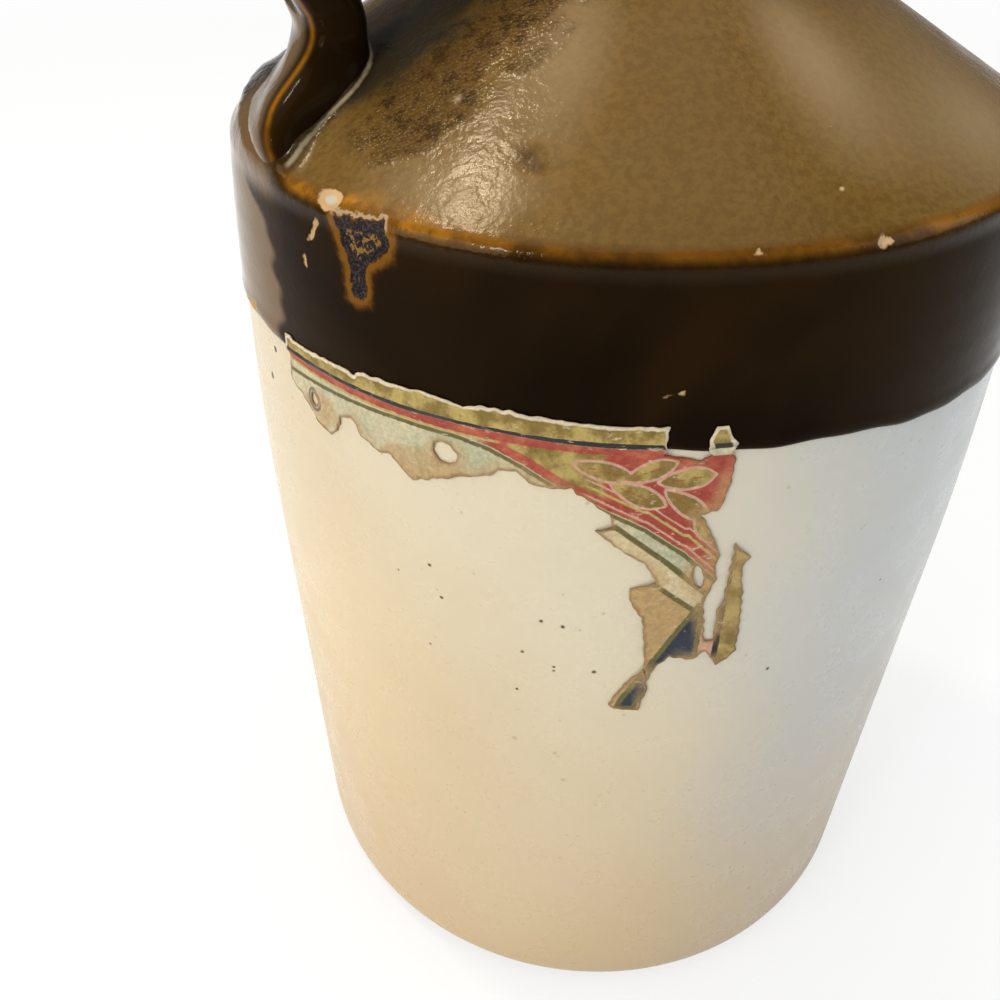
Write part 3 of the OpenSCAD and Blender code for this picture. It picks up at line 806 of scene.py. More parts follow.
# Its colours, its grain, where each colour starts and is full, how much of it there is,
# and its spots: degrees from the front, mm below the arris, radius
creamLook = {
    # painted light: the cool right side, the warm left side and the warm glow low on the left
    "wall": (0.615, 0.54, 0.39), "paintedCoolLight": (0.45, 0.465, 0.465), "paintedWarmLight": (0.56, 0.44, 0.27),
    "foot": (0.50, 0.345, 0.162), "glow": (0.70, 0.50, 0.22), "mottle": (0.56, 0.47, 0.33),
    "speck": (0.035, 0.026, 0.018), "rust": (0.30, 0.17, 0.07), "nick": (0.06, 0.045, 0.035),
    "broad": (9, 3, 0.55, 0.3), "mid": (70, 4, 0.6), "fine": (900, 3, 0.6),
    "dustAt": (60, 2), "ragged": (1400, 2, 0.6), "dust": 260,
    "level": 0.45, "coat": 0.15, "coatRough": 0.12, "bump": 0.00014,
    "wobble": 0.09, "footWobble": 0.8, "raggedBy": 0.8,
    "coolFrom": (-0.045, 0.035), "warmFrom": (-0.050, -0.100), "glowFrom": (-0.062, -0.098),
    "glowUp": (0.21, 0.12), "footUp": (0.19, 0.0), "mottleFrom": (0.35, 0.7, 0.0, 0.10),
    "dustFrom": (0.16, 0.08), "dustWhere": (0.56, 0.64), "stainRim": (2.2, 0.9),
    "spotRim": (1.15, 0.8), "faintRim": (1.3, 0.6),
    "much": {"paintedWarmLight": 0.8, "glow": 0.5, "foot": 0.85, "dust": 0.35, "stain": 0.35, "iron": 0.9, "faint": 0.42},
    "rough": (0.3, 0.7, 0.24, 0.36), "pitRough": 0.6, "grainUp": 0.4, "fineUp": 0.05, "pitDeep": 0.8,
    "specks": [
        (-46.3, 78.4, 0.42), (-44.7, 87.4, 0.42), (-30.9, 86.8, 0.42), (-28.1, 87.6, 0.45),
        (-47.0, 105.2, 0.28), (-33.3, 98.0, 0.38), (-29.0, 101.4, 0.34), (-29.0, 102.8, 0.3),
        (-23.7, 101.6, 0.48), (-34.0, 111.8, 0.38), (0.5, 106.0, 0.4), (-51.5, 84.2, 0.25), (18, 90, 0.3),
        (32, 140, 0.35), (64, 110, 0.4), (101, 150, 0.4), (140, 96, 0.35), (-150, 130, 0.45),
        (-120, 180, 0.4),
    ],
    "faintSpecks": [
        (-45.3, 85.4, 0.4), (-23.1, 82.2, 0.4), (-39.9, 76.6, 0.4), (-34.3, 131.4, 0.8),
        (-28.3, 134.6, 0.7), (-26.9, 145.6, 0.8), (-46.8, 139.6, 0.5), (-58.0, 173.0, 0.7),
        (-44.4, 195.0, 0.9), (-20.8, 186.8, 0.6), (-13.8, 223.6, 0.9), (-28.3, 77.6, 0.35),
        (-25.9, 88.0, 0.4), (48, 70, 0.5), (88, 190, 0.7), (122, 60, 0.5), (165, 160, 0.7),
        (-165, 90, 0.5), (-135, 210, 0.8),
    ],
    "nicks": [(-75.7, 42.6, 0.8), (-78.3, 52.0, 0.9)],
}


def onWall(degrees, below):
    z = jug["arrisH"] - below
    a, r = math.radians(degrees), float(wallR(z)) + jug["creamT"]
    return (r * math.sin(a) * mm, -r * math.cos(a) * mm, z * mm)


def creamMaterial():
    mat, g = newMaterial("creamGlaze")
    look = creamLook
    where = g.place()
    x, _, z = g.axes(where)
    broad, mid, fine, dustAt, ragged = g.noises(where, look, "broad", "mid", "fine", "dustAt", "ragged")
    wobble = g.push(broad, look["wobble"])
    across = g.plus(x, wobble)
    much = look["much"]
    # painted light: the right side cooler and greyer, the left side warmer, a warm rim light low on the left
    colour = g.mix(g.span(across, *look["coolFrom"]), look["wall"], look["paintedCoolLight"])
    colour = g.lay(colour, g.span(across, *look["warmFrom"]), look["paintedWarmLight"], much["paintedWarmLight"])
    glow = g.times(g.span(x, *look["glowFrom"]), g.span(z, *look["glowUp"]))
    colour = g.lay(colour, glow, look["glow"], much["glow"])
    toFoot = g.span(g.plus(z, g.times(wobble, look["footWobble"])), *look["footUp"])
    colour = g.lay(colour, toFoot, look["foot"], much["foot"])
    colour = g.lay(colour, g.span(mid, *look["mottleFrom"]), look["mottle"])
    # fine grey and brown pepper, then the larger iron spots
    isDust = g.span(g.cells(where, look["dust"]), *look["dustFrom"])
    isDust = g.times(isDust, g.span(dustAt, *look["dustWhere"]))
    colour = g.lay(colour, isDust, look["rust"], much["dust"])
    ragged = g.push(ragged, look["raggedBy"])

    def fromSpots(name):
        return g.plus(g.nearest(where, [(onWall(a, b), size * mm) for a, b, size in look[name]]), ragged)

    specks = fromSpots("specks")
    colour = g.lay(colour, g.span(specks, *look["stainRim"]), look["rust"], much["stain"])
    iron = g.span(specks, *look["spotRim"])
    colour = g.lay(colour, iron, look["speck"], much["iron"])
    colour = g.lay(colour, g.span(fromSpots("faintSpecks"), *look["faintRim"]), look["rust"], much["faint"])
    nick = g.span(fromSpots("nicks"), *look["spotRim"])
    colour = g.lay(colour, nick, look["nick"])
    pits = g.most(iron, nick)
    rough = g.mixValue(pits, g.span(mid, *look["rough"]), look["pitRough"])
    height = g.plus(g.times(mid, look["grainUp"]), g.times(fine, look["fineUp"]))
    height = g.minus(height, g.times(pits, look["pitDeep"]))
    coat = [("Coat Weight", look["coat"]), ("Coat Roughness", look["coatRough"])]
    g.skin(colour, rough, look["level"], height, look["bump"], coat)
    return mat


# The strap handle. A row of the foot is in shares: height, half width at the inner and at the outer face,
# then how far out it lies at the front edge, in the middle and at the back edge.
handle = {
    "inR": 66.5, "depth": 31.5, "footW": 76.0, "rise": 64.0, "w": 40.0, "t": 14.0,
    "neckW": 42.0, "neckR": 25.0,
    "rowShares": [
        (-0.05, 0.32, 0.9, 0.81, 0.8, 0.5),
        (0.04, 0.32, 1, 0.84, 0.87, 0.55),
        (0.095, 0.39, 0.97, 0.905, 0.81, 0.44),
        (0.14, 0.47, 0.91, 0.89, 0.71, 0.34),
        (0.19, 0.54, 0.79, 0.83, 0.62, 0.28),
        (0.235, 0.55, 0.685, 0.69, 0.545, 0.28),
        (0.28, 0.54, 0.605, 0.555, 0.48, 0.3),
        (0.33, 0.535, 0.57, 0.455, 0.445, 0.35),
        (0.375, 0.535, 0.555, 0.43, 0.46, 0.42),
        (0.42, 0.53, 0.54, 0.47, 0.48, 0.46),
    ],
    "loopShares": [(0.77, 0.68), (0.775, 0.8), (0.73, 1), (0.5, 1)],
    "neckShares": [(0.284, 1), (0.013, 0.9), (-0.263, 0.761)],
    "footSquare": 0.36, "strapSquare": 0.6, "groove": 0.9, "grooveHalf": 0.38,
    "neckFillet": 1.7, "filletReach": 2.4, "endR": 20.0,
    "points": 96, "rowSteps": 10, "curveSteps": 40, "smoothing": 44, "upperRows": (120, 20),
    # the thrower's hand: how high, how often along and round, and its start
    "waves": [(0.22, 0.11, 3, 1), (0.16, 0.19, -2, 0), (0.1, 0.31, 5, 0)],
    "sheenBack": (14, 16), "sheenTop": 44, "sheenTopOver": 24,
}


def power(x, share):
    return np.sign(x) * np.abs(x) ** share


# Smooth curve through rows of numbers
def between(rows, i, t):
    a, b, c, d = (rows[max(0, min(len(rows) - 1, i + k))] for k in (-1, 0, 1, 2))
    row = b + t * (c - a) / 2 + t * t * (a - 2.5 * b + 2 * c - d / 2)
    return row + t ** 3 * (1.5 * (b - c) + (d - a) / 2)


def bezier(points, t):
    while len(points) > 1:
        points = [a + (b - a) * t for a, b in zip(points[:-1], points[1:])]
    return points[0]


def handleRings():
    h = handle
    a = np.linspace(0, fullTurn, h["points"], endpoint=False)
    # the corners between the sides and the outer face, where the glaze ran thin
    corner = bell(a, 0.72, 0.085) + bell(a, math.pi - 0.72, 0.085)
    rows = np.array(h["rowShares"])
    rings, ridge, outer = [], [], []
    for step in range((len(rows) - 1) * h["rowSteps"]):
        i, t = step // h["rowSteps"], step % h["rowSteps"] / h["rowSteps"]
        row = between(rows, i, t)
        up = (i + t) / (len(rows) - 1)
        square = h["footSquare"] + (h["strapSquare"] - h["footSquare"]) * up
        u, v = power(np.cos(a), square), (power(np.sin(a), square) + 1) / 2
        bow = (row[3] + row[5]) / 2 - row[4]
        out = row[4] + bow * u * u + (row[5] - row[3]) / 2 * u
        half = row[1] + (row[2] - row[1]) * v
        z = jug["arrisH"] + row[0] * h["rise"] + 0 * u
        rings.append(np.stack([-(h["inR"] + out * h["depth"] * v), u * half * h["footW"] / 2, z], -1))
        ridge.append(corner * (1 - 0.3 * up))
        outer.append(smooth01((v - 0.93) / 0.06))

    def onLoop(share):
        reach, topH = jug["arrisR"] - h["neckR"], h["rise"] - h["t"] / 2
        return np.array([h["neckR"] + share[0] * reach, share[1] * topH])

    footTop = np.array([h["inR"] + h["t"] / 2, rows[-1][0] * h["rise"]])
    crown = [onLoop(s) for s in h["loopShares"]]
    rise = [footTop, np.array([footTop[0] + h["t"] / 6, 0.5 * h["rise"]]), *crown[:2]]
    neck = [crown[-1]] + [onLoop(s) for s in h["neckShares"]]
    u, v = power(np.cos(a), h["strapSquare"]), power(np.sin(a), h["strapSquare"])
    # a shallow groove runs along the top of the strap
    side = v * h["t"] / 2 - h["groove"] * bell(u, 0, h["grooveHalf"]) * (v > 0) * v
    for curve in (rise, crown[1:], neck):
        for i in range(0 if curve is rise else 1, h["curveSteps"] + 1):
            t = i / h["curveSteps"]
            p = bezier(curve, t)
            way = bezier(curve, min(1, t + 0.01)) - bezier(curve, max(0, t - 0.01))
            way /= np.linalg.norm(way)
            half = h["w"] / 2 + (h["neckW"] - h["w"]) / 2 * (t if curve is neck else 0)
            x, z = -(p[0] + side * way[1]), jug["arrisH"] + p[1] - side * way[0]
            rings.append(np.stack([x, u * half, z], -1))
            ridge.append(corner * 0.7)
            outer.append(smooth01((v - 0.86) / 0.12))
    return np.array(rings), np.array(ridge), np.array(outer)


def buildHandle():
    h = handle
    rings, ridge, outer = handleRings()
    # soften the steps between the foot and the strap
    for _ in range(h["smoothing"]):
        rings[4:-4] = (rings[3:-5] + 2 * rings[4:-4] + rings[5:-3]) / 4
    # the painted sheen on the outside, a reflection painted lighter into its colour, fades out towards the
    # back and the top
    outer = outer * fallsTo(rings[:, :, 1], *h["sheenBack"])
    outer = outer * fallsTo(rings[:, :, 2], jug["arrisH"] + h["sheenTop"], h["sheenTopOver"])
    n, m = rings.shape[:2]
    out = rings - rings.mean(1, keepdims=True)
    out /= np.linalg.norm(out, axis=2, keepdims=True)
    i, j = np.arange(n)[:, None], np.arange(m)[None, :]
    turn = fullTurn * j / m
    wave = sum(
        size * np.sin(i * along + count * turn + shift)
        for size, along, count, shift in h["waves"]
    )
    rings = rings + out * wave[:, :, None]
    # the glaze gathers where the strap meets the neck
    upper = risesFrom(i, *h["upperRows"])
    toNeck = np.hypot(rings[:, :, 0], rings[:, :, 1]) - jug["neckR"] - jug["brownT"]
    fillet = upper * h["neckFillet"] * np.exp(-np.clip(toNeck, 0, None) / h["filletReach"])
    rings = rings + out * fillet[:, :, None]
    points = np.concatenate([rings.reshape(-1, 3), [rings[0].mean(0), rings[-1].mean(0)]])
    # the end stays in the clay of the neck, clear of the bore
    least = np.sqrt(np.clip(h["endR"] ** 2 - points[:, 1] ** 2, 0, None))
    points[:, 0] = -np.maximum(-points[:, 0], least)
    faces = [f[::-1] for f in gridFaces(n, m)]
    faces += [[j, (j + 1) % m, n * m] for j in range(m)]
    faces += [[(n - 1) * m + (j + 1) % m, (n - 1) * m + j, n * m + 1] for j in range(m)]
    return meshFrom("strapHandle", points * mm, faces, {
        "ridge": np.append(ridge.ravel(), [0, 0]), "paintedSheen": np.append(outer.ravel(), [0, 0]),
    })


# What is left of the paper label, in mm to the right and down along the wall
label = {
    "w": 115.0, "drop": 31.5, "above": 1.5, "at": -37.5, "t": 0.3, "paste": 0.1, "gap": 0.55,
    "main": [
        (-0.6, 3.5), (5.2, 4.1), (13.7, 3.6), (21.1, 3.4), (24.4, 3.8), (26.6, 2.4), (35.8, 2.3),
        (41.7, 1.9), (47.6, 2.1), (51.4, 3.0), (54.9, 1.7), (59.5, 1.7), (68.7, 2.1), (80.5, 2.6),
        (92.6, 2.4), (92.5, 7.3), (92.3, 9.2), (95.7, 9.9), (100.2, 10.8), (102, 9.3), (100.6, 7.3),
        (101.2, 4.2), (102, 2.7), (104.2, 2.6), (105.6, 5.7), (106.7, 6.7), (105.8, 8.4), (106.9, 10.9),
        (106.8, 15.7), (105.7, 21.8), (104.5, 23.5), (101.4, 24), (104.7, 30.1), (106.9, 35.3),
        (106.2, 38.1), (106.9, 41.9), (104.9, 48.8), (106.5, 61.1), (108.7, 61.4), (108.5, 51.8),
        (109.5, 48.9), (110, 32.4), (110.7, 33.9), (114.1, 37.1), (112.4, 39.3), (112.9, 43.5),
        (113.7, 47.2), (114.6, 59.3), (114.7, 66), (113, 68.4), (110.2, 69.5), (108.4, 66.4),
        (107.2, 64.5), (104.4, 67.2), (99.1, 65.6), (96.3, 68.5), (94.5, 73.7), (93.6, 69.5),
        (92.4, 58.4), (91.8, 53.6), (88.4, 47.5), (88.4, 44.2), (90.7, 43.3), (93.8, 42.4), (91.2, 37.2),
        (85.2, 33.2), (79.9, 28.5), (83.5, 27.1), (82.5, 24.1), (77.6, 20.7), (74.4, 18.5), (68.2, 19),
        (65.5, 18.3), (62.9, 16), (59, 16.6), (57.1, 18.4), (48.3, 21.1), (38.7, 25.2), (35.6, 23.1),
        (33, 20.7), (29.7, 20.8), (24.4, 19.3), (21.7, 15.5), (17.8, 17.4), (16.7, 21.1), (14.2, 23.3),
        (9.5, 21.7), (4, 17.7), (-1.2, 15.6),
    ],
    "lower": [
        (93.4, 69.6), (91.3, 72.6), (89.2, 75.5), (86.1, 82.6), (87.4, 84), (93.4, 83.9), (94.8, 77.3),
        (94.6, 73.9),
    ],
    # middle, half sizes and tilt in degrees
    "holes": [(47.0, 15.4, 2.9, 2.5, 25), (8.8, 16.5, 1.9, 1.3, 110), (102.9, 41.2, 3.3, 1.1, 78)],
    "blue": [
        (104.3, 50), (104.6, 66.8), (99.5, 66.5), (96.6, 69.5), (95, 74.5), (94.2, 78), (91.5, 83),
        (88.6, 83), (89.6, 80), (92, 75), (95, 68.5), (99.5, 59),
    ],
    "panel": [(78, 28), (84, 27), (95, 36), (104, 45), (106, 47), (104, 52), (97, 46), (88, 38)],
    # the printed border that swings down to the right, and the plain leaves on its red corner
    "swing": [
        (-3, 12.5), (12, 11.6), (36, 10.6), (50, 10.6), (57, 11.8), (64, 14.6), (72, 19.0), (80, 22.6),
        (90, 27.6), (99, 34.5), (108, 44),
    ],
    "leaves": [
        (80.5, 13.5, 6.2, 1.9, 12), (90.0, 13.2, 5.4, 1.8, -24), (88.0, 19.0, 6.0, 2.1, 24),
        (97.6, 15.0, 5.6, 2.2, -8), (98.2, 21.5, 5.8, 2.0, 38), (102.5, 27.5, 4.4, 1.6, 62),
    ],
}


# A torn edge: the outline with small waves across it
def roughEdge(outline, gap, size, seed):
    local = np.random.default_rng(seed)
    pts = resampled(list(outline) + [outline[0]], gap)[:-1]
    n = len(pts)
    s = np.arange(n) / n * 2 * math.pi
    way = np.roll(pts, -1, 0) - np.roll(pts, 1, 0)
    way /= np.linalg.norm(way, axis=1)[:, None] + 1e-9
    side = np.stack([way[:, 1], -way[:, 0]], -1)
    counts = local.integers(n // 14, n // 5, 9)
    push = sum(local.uniform(0.3, 1) * np.sin(s * k + local.uniform(0, 6.28)) for k in counts)
    return pts + side * (size * push / 3)[:, None]


def turned(x, y, degrees):
    c, s = math.cos(math.radians(degrees)), math.sin(math.radians(degrees))
    return x * c - y * s, x * s + y * c


def ovalOutline(u, v, half, other, tilt):
    a = np.linspace(0, fullTurn, 24, endpoint=False)
    x, y = turned(half * np.cos(a), other * np.sin(a), tilt)
    return np.stack([u + x, v + y], -1)


# Radius of the glaze under the paper, with the step at the glaze line eased
def underPaper(phi, z):
    step = smooth01((z - glazeLine(phi) + 1.6) / 2.6)
    thicker = jug["brownT"] + 0.12 - jug["creamT"]
    return wallR(z) + jug["creamT"] + thicker * step + brownCoat["lump"] * lumps(phi, z) * step


def buildScrap(name, outline, holes, seed):
    edge = roughEdge(outline, 0.45, 0.22, seed)
    holes = [roughEdge(ovalOutline(*hole), 0.4, 0.16, seed + i + 1) for i, hole in enumerate(holes)]

    # distance inwards from the torn edge and the holes
    def inwards(points):
        toHoles = [outlineDistance(points, hole) for hole in holes]
        return np.min([-outlineDistance(points, edge)] + toHoles, axis=0)

    gap = label["gap"]
    gx, gy = np.meshgrid(*(np.arange(low, high, gap) for low, high in zip(edge.min(0), edge.max(0))))
    gx = gx + (np.arange(gx.shape[0]) % 2)[:, None] * gap / 2
    grid = np.stack([gx.ravel(), gy.ravel()], -1)
    points, edges = [], []
    for loop in [edge] + holes:
        start, n = len(points), len(loop)
        points += loop.tolist()
        edges += [(start + i, start + (i + 1) % n) for i in range(n)]
    points += grid[inwards(grid) > 0.3].tolist()
    verts, _, faces, *_ = delaunay_2d_cdt([Vector(p) for p in points], edges, [], 0, 1e-5)
    flat = np.array([tuple(v) for v in verts])
    faces = np.array([f for f in faces if len(f) == 3])
    faces = faces[inwards(flat[faces].mean(1)) > 0]
    a, b, c = (flat[faces[:, k]] for k in range(3))
    area = (b - a)[:, 0] * (c - a)[:, 1] - (b - a)[:, 1] * (c - a)[:, 0]
    faces = np.where((area > 0)[:, None], faces, faces[:, ::-1])
    used, faces = np.unique(faces, return_inverse=True)
    faces = faces.reshape(-1, 3).tolist()
    flat = flat[used]
    u, v = flat.T
    n = len(flat)

    # the sheet lies on the glaze, and curls up a little at its torn edges
    toEdge = inwards(flat)
    phi = (u - label["w"] / 2) / jug["bellyR"] + math.radians(label["at"])
    z = jug["arrisH"] - label["drop"] + label["above"] - v
    base = underPaper(phi, z)
    curl = 0.28 * np.exp(-toEdge / 1.1) * np.clip(np.sin(u * 0.7) + np.sin(v * 0.9 + 1) - 0.2, 0, 1.4)
    crease = 0.05 * np.sin(u * 1.3 + 2 * np.sin(v * 0.4)) * np.sin(v * 0.8)
    upper = roundJug(phi, base + label["paste"] + label["t"] + curl + crease, z)
    lower = roundJug(phi, base + 0.06 + curl * 0.9, z)
    # v goes down, so the outside needs the turned order
    outside = [f[::-1] for f in faces]
    inside = [[i + n for i in f] for f in faces]
    ways = dict.fromkeys((f[k], f[(k + 1) % 3]) for f in faces for k in range(3))
    walls = [[q + n, p + n, p, q] for p, q in ways if (q, p) not in ways]

    # what the print is painted by
    swing = np.array(label["swing"], float).T
    across = np.arange(-3, 116, 0.5)
    lean = np.interp(u, across, np.gradient(np.interp(across, *swing), 0.5))
    leaf, vein = np.full(n, 9.0), np.full(n, 9.0)
    for middle, down, long, wide, tilt in label["leaves"]:
        x, y = turned(u - middle, v - down, -tilt)
        half = wide * np.clip(1 - (x / long) ** 2, 0, 1) ** 0.8 * (1 + 0.25 * x / long)
        d = np.where(np.abs(x) < long, np.abs(y) - half, np.hypot(np.abs(x) - long, y))
        leaf = np.minimum(leaf, d)
        vein = np.minimum(vein, np.where(np.abs(x) < long * 0.7, np.abs(y), 9))
    fields = {
        "labelU": u, "labelV": v, "toEdge": toEdge, "below": (v - np.interp(u, *swing)) / np.hypot(1, lean),
        "leaf": leaf, "vein": vein, "blue": outlineDistance(flat, label["blue"]),
        "panel": outlineDistance(flat, label["panel"]),
    }
    attributes = {key: np.tile(values, 2) for key, values in fields.items()}
    return meshFrom(name, np.concatenate([upper, lower]), outside + inside + walls, attributes)


# The print's colours and its layers, lowest first. A layer has a tint, and soft steps up and down in mm:
# across (u, or uTorn with a ragged edge), down (v), below the swinging border, or out from the panel,
# the leaves, their veins or the blue patch.
paperLook = {
    "gold": (0.20, 0.125, 0.018), "goldPale": (0.43, 0.32, 0.095), "olive": (0.12, 0.10, 0.025),
    "black": (0.022, 0.018, 0.014), "red": (0.31, 0.040, 0.021), "redPale": (0.42, 0.105, 0.056),
    "ground": (0.52, 0.46, 0.29), "groundGreen": (0.40, 0.39, 0.25), "panel": (0.56, 0.45, 0.26),
    "tan": (0.42, 0.27, 0.11), "stain": (0.24, 0.13, 0.04), "blue": (0.014, 0.022, 0.040),
    "pink": (0.52, 0.29, 0.20), "torn": (0.68, 0.58, 0.42), "ringBlue": (0.085, 0.085, 0.12),
    "broad": (45, 3, 0.6), "mid": (160, 4, 0.6), "fine": (900, 4, 0.65), "scrapes": (330, 4, 0.7),
    "level": 0.35, "bump": 0.00016,
    "layers": [
        ("tan", {"u": (80, 90), "v": (36, 44)}),
        ("olive", {"below": (-0.55, -0.25, 0.75, 0.45)}),
        ("olive", {"below": (3.2, 3.6, 4.9, 4.5), "u": (74, 77)}),
        ("panel", {"panelTorn": (0.2, -0.2)}),
        ("olive", {"panel": (-0.9, -0.6, 0.7, 0.4)}),
        ("redWorn", {"below": (-0.5, -0.8), "v": (9.2, 9.6), "u": (52, 58)}),
        ("goldWorn", {"below": (-2.6, -3.0), "v": (9.2, 9.6), "u": (60, 62, 82, 80)}),
        ("pink", {"below": (-2.12, -1.88, -1.38, -1.62), "u": (76, 79), "v": (11, 12)}),
        ("goldPale", {"below": (-4.22, -3.98, -3.38, -3.62), "u": (76, 79), "v": (11, 12)}),
        ("pink", {"below": (-5.52, -5.28, -4.88, -5.12), "u": (76, 79), "v": (11, 12)}),
        ("pink", {"leaf": (0.75, 0.5), "u": (74, 75), "v": (9.4, 9.8)}),
        ("goldWorn", {"leaf": (0.1, -0.15), "u": (74, 75), "v": (9.4, 9.8)}),
        ("red", {"vein": (0.3, 0.15), "u": (74, 75)}, 0.7),
        ("redWorn", {"v": (7.3, 7.55, 9.7, 9.45), "u": (98, 96)}),
        ("goldPale", {"v": (9.5, 9.65, 10.2, 10.0), "u": (60, 58)}),
        ("black", {"v": (6.1, 6.3, 7.5, 7.3)}),
        ("goldWorn", {"v": (6.3, 6.1)}),
        ("olive", {"blue": (1.3, 1.0)}),
        ("blue", {"blue": (-0.1, -0.4)}),
        ("goldWorn", {"uTorn": (108.6, 108.8), "v": (28, 30)}),
        ("black", {"uTorn": (108.6, 108.8, 110.4, 110.1), "v": (28, 30)}),
        ("pink", {"uTorn": (105.3, 105.6, 108.9, 108.7), "v": (56, 58)}),
        ("olive", {"uTorn": (104.2, 104.4, 105.5, 105.3), "v": (46, 48)}),
    ],
    # middle and half sizes of the water stains, and of the dark ring round the small hole
    "stains": [(10, 18.5, 8, 5), (42, 21, 12, 6)], "ring": (8.8, 16.5, 2.0, 2.5),
}


def labelMaterial():
    mat, g = newMaterial("printedPaper")
    look = paperLook
    where = g.place()
    broad, mid, fine = g.noises(where, look, "broad", "mid", "fine")
    jitter = g.push(fine, 0.5)
    u = g.painted("labelU")
    v = g.plus(g.painted("labelV"), jitter)
    panel, blue, toEdge = (g.painted(name) for name in ("panel", "blue", "toEdge"))
    fields = {
        "u": u, "v": v, "uTorn": g.plus(u, jitter), "below": g.plus(g.painted("below"), jitter),
        "panel": panel, "panelTorn": g.plus(panel, jitter), "blue": g.plus(blue, jitter),
        "leaf": g.plus(g.painted("leaf"), g.times(jitter, 0.6)), "vein": g.painted("vein"),
    }
    goldWorn = g.mix(g.span(mid, 0.40, 0.60), look["gold"], look["goldPale"])
    goldWorn = g.lay(goldWorn, g.span(fine, 0.55, 0.66), look["olive"], 0.55)
    redWorn = g.mix(g.span(mid, 0.42, 0.66), look["red"], look["redPale"])
    tints = {**look, "goldWorn": goldWorn, "redWorn": redWorn}
    colour = g.mix(g.span(broad, 0.4, 0.62), look["ground"], look["groundGreen"])
    for tint, edges, *amount in look["layers"]:
        mask = None
        for name, steps in edges.items():
            part = (g.strip if len(steps) == 4 else g.span)(fields[name], *steps)
            mask = part if mask is None else g.times(mask, part)
        colour = g.lay(colour, mask, tints[tint], *amount)

    def fromOval(middle, down, across, tall):
        du, dv = g.over(g.minus(u, middle), across), g.over(g.minus(v, down), tall)
        return g.plus(g.times(du, du), g.times(dv, dv))

    # brown water stains at the left end and below the larger hole
    for stain in look["stains"]:
        wet = g.span(g.plus(fromOval(*stain), g.push(mid, 2.6)), 1.1, 0.3)
        colour = g.lay(colour, g.times(wet, g.span(v, 12.5, 14)), look["tan"], 0.72)
    ring = g.strip(fromOval(*look["ring"]), 0.75, 0.95, 1.7, 1.3)
    colour = g.lay(colour, ring, look["ringBlue"], g.span(mid, 0.4, 0.55, 0.2, 0.8))
    # scrapes down to white fibre, stains with a dark rim, torn pale border
    scrapes = g.span(g.noise(g.stretched(where, (1, 1, 2.4)), *look["scrapes"]), 0.60, 0.66)
    colour = g.lay(colour, g.times(scrapes, g.span(broad, 0.42, 0.6)), look["torn"], 0.6)
    ragged = g.plus(toEdge, g.push(mid, 2.4))
    colour = g.lay(colour, g.times(g.span(ragged, 0.9, 0.25), g.span(v, 9, 12)), look["stain"], 0.75)
    tanRim = g.times(g.times(g.span(ragged, 3.6, 1.4), g.span(v, 10, 14)), g.span(broad, 0.42, 0.58))
    colour = g.lay(colour, tanRim, look["tan"], 0.5)
    colour = g.lay(colour, g.times(g.span(ragged, 0.75, 0.35), g.span(v, 9, 6)), look["torn"], 0.85)
    mottle = g.grey(g.span(fine, 0.35, 0.7, 0.78, 1.15, smooth=False))
    colour = g.mix(1.0, colour, mottle, "MULTIPLY")
    height = g.plus(g.times(fine, 0.6), mid)
    g.skin(colour, g.span(mid, 0.3, 0.7, 0.5, 0.72), look["level"], height, look["bump"])
    return mat


cork = {
    "in": 24.0, "out": 20.0, "taper": 2.6, "gap": 0.3, "bevel": 1.2, "lowRound": 0.9, "topRound": 1.1,
    "middle": 0.01, "columns": 150, "pits": 150, "seed": 31,
    "bark": (0.50, 0.31, 0.15), "barkDark": (0.36, 0.20, 0.09), "streak": (0.16, 0.08, 0.035),
    "fleck": (0.62, 0.43, 0.25), "cells": 700, "level": 0.25, "bump": 0.0004,
    "mid": (260, 5, 0.65), "fine": (1100, 3, 0.6), "streaks": (420, 3, 0.6),
}


def buildCork():
    c = cork
    tall = c["in"] + c["out"]
    seatR = jug["mouthR"] - jug["brownT"] - c["gap"]
    z0 = jugH - jug["lipRound"] - c["in"]
    z1 = z0 + tall
    lowR, highR = seatR - c["taper"] * c["in"] / tall, seatR + c["taper"] * c["out"] / tall
    outline = [(c["middle"], z0), (lowR - c["bevel"], z0)]
    outline += cornerArc((lowR - 3, z0), (lowR, z0), (highR, z1), c["lowRound"], 4)
    outline += cornerArc((lowR, z0), (highR, z1), (highR - 3, z1), c["topRound"], 4) + [(c["middle"], z1)]
    line = resampled(outline, 0.5)
    phi = np.linspace(0, fullTurn, c["columns"], endpoint=False)
    angle = np.repeat(phi[None, :], len(line), 0)
    r, z, nr, nz = levelRows(line, phi)
    local = np.random.default_rng(c["seed"])
    pits = np.zeros_like(r)
    for _ in range(c["pits"]):
        a, b = local.uniform(0, fullTurn), local.uniform(z0 + 0.5, z1 - 0.5)
        wide, high, deep = local.uniform(0.35, 1.5), local.uniform(0.2, 0.55), local.uniform(0.15, 0.55)
        d = np.abs((angle - a + math.pi) % fullTurn - math.pi) * seatR
        pits = np.maximum(pits, deep * np.exp(-((d / wide) ** 2 + ((z - b) / high) ** 2) ** 1.5))
    pits = pits * smooth01((r - 2.5) / 3)
    points = roundJug(angle, r - nr * pits, z - nz * pits * 0.6).reshape(-1, 3)
    return meshFrom("corkBung", points, gridFaces(len(line), c["columns"]))


def corkMaterial():
    mat, g = newMaterial("corkBark")
    where = g.place()
    mid, fine = g.noises(where, cork, "mid", "fine")
    streaks = g.noise(g.stretched(where, (1, 1, 0.25)), *cork["streaks"])
    colour = g.mix(g.span(mid, 0.35, 0.65), cork["bark"], cork["barkDark"])
    colour = g.lay(colour, g.span(streaks, 0.56, 0.68), cork["streak"])
    colour = g.lay(colour, g.span(g.cells(where, cork["cells"]), 0.55, 0.8, 0.0, 0.4), cork["fleck"])
    height = g.plus(mid, g.times(fine, 0.5))
    g.skin(colour, g.span(fine, 0.3, 0.7, 0.72, 0.9), cork["level"], height, cork["bump"])
    return mat


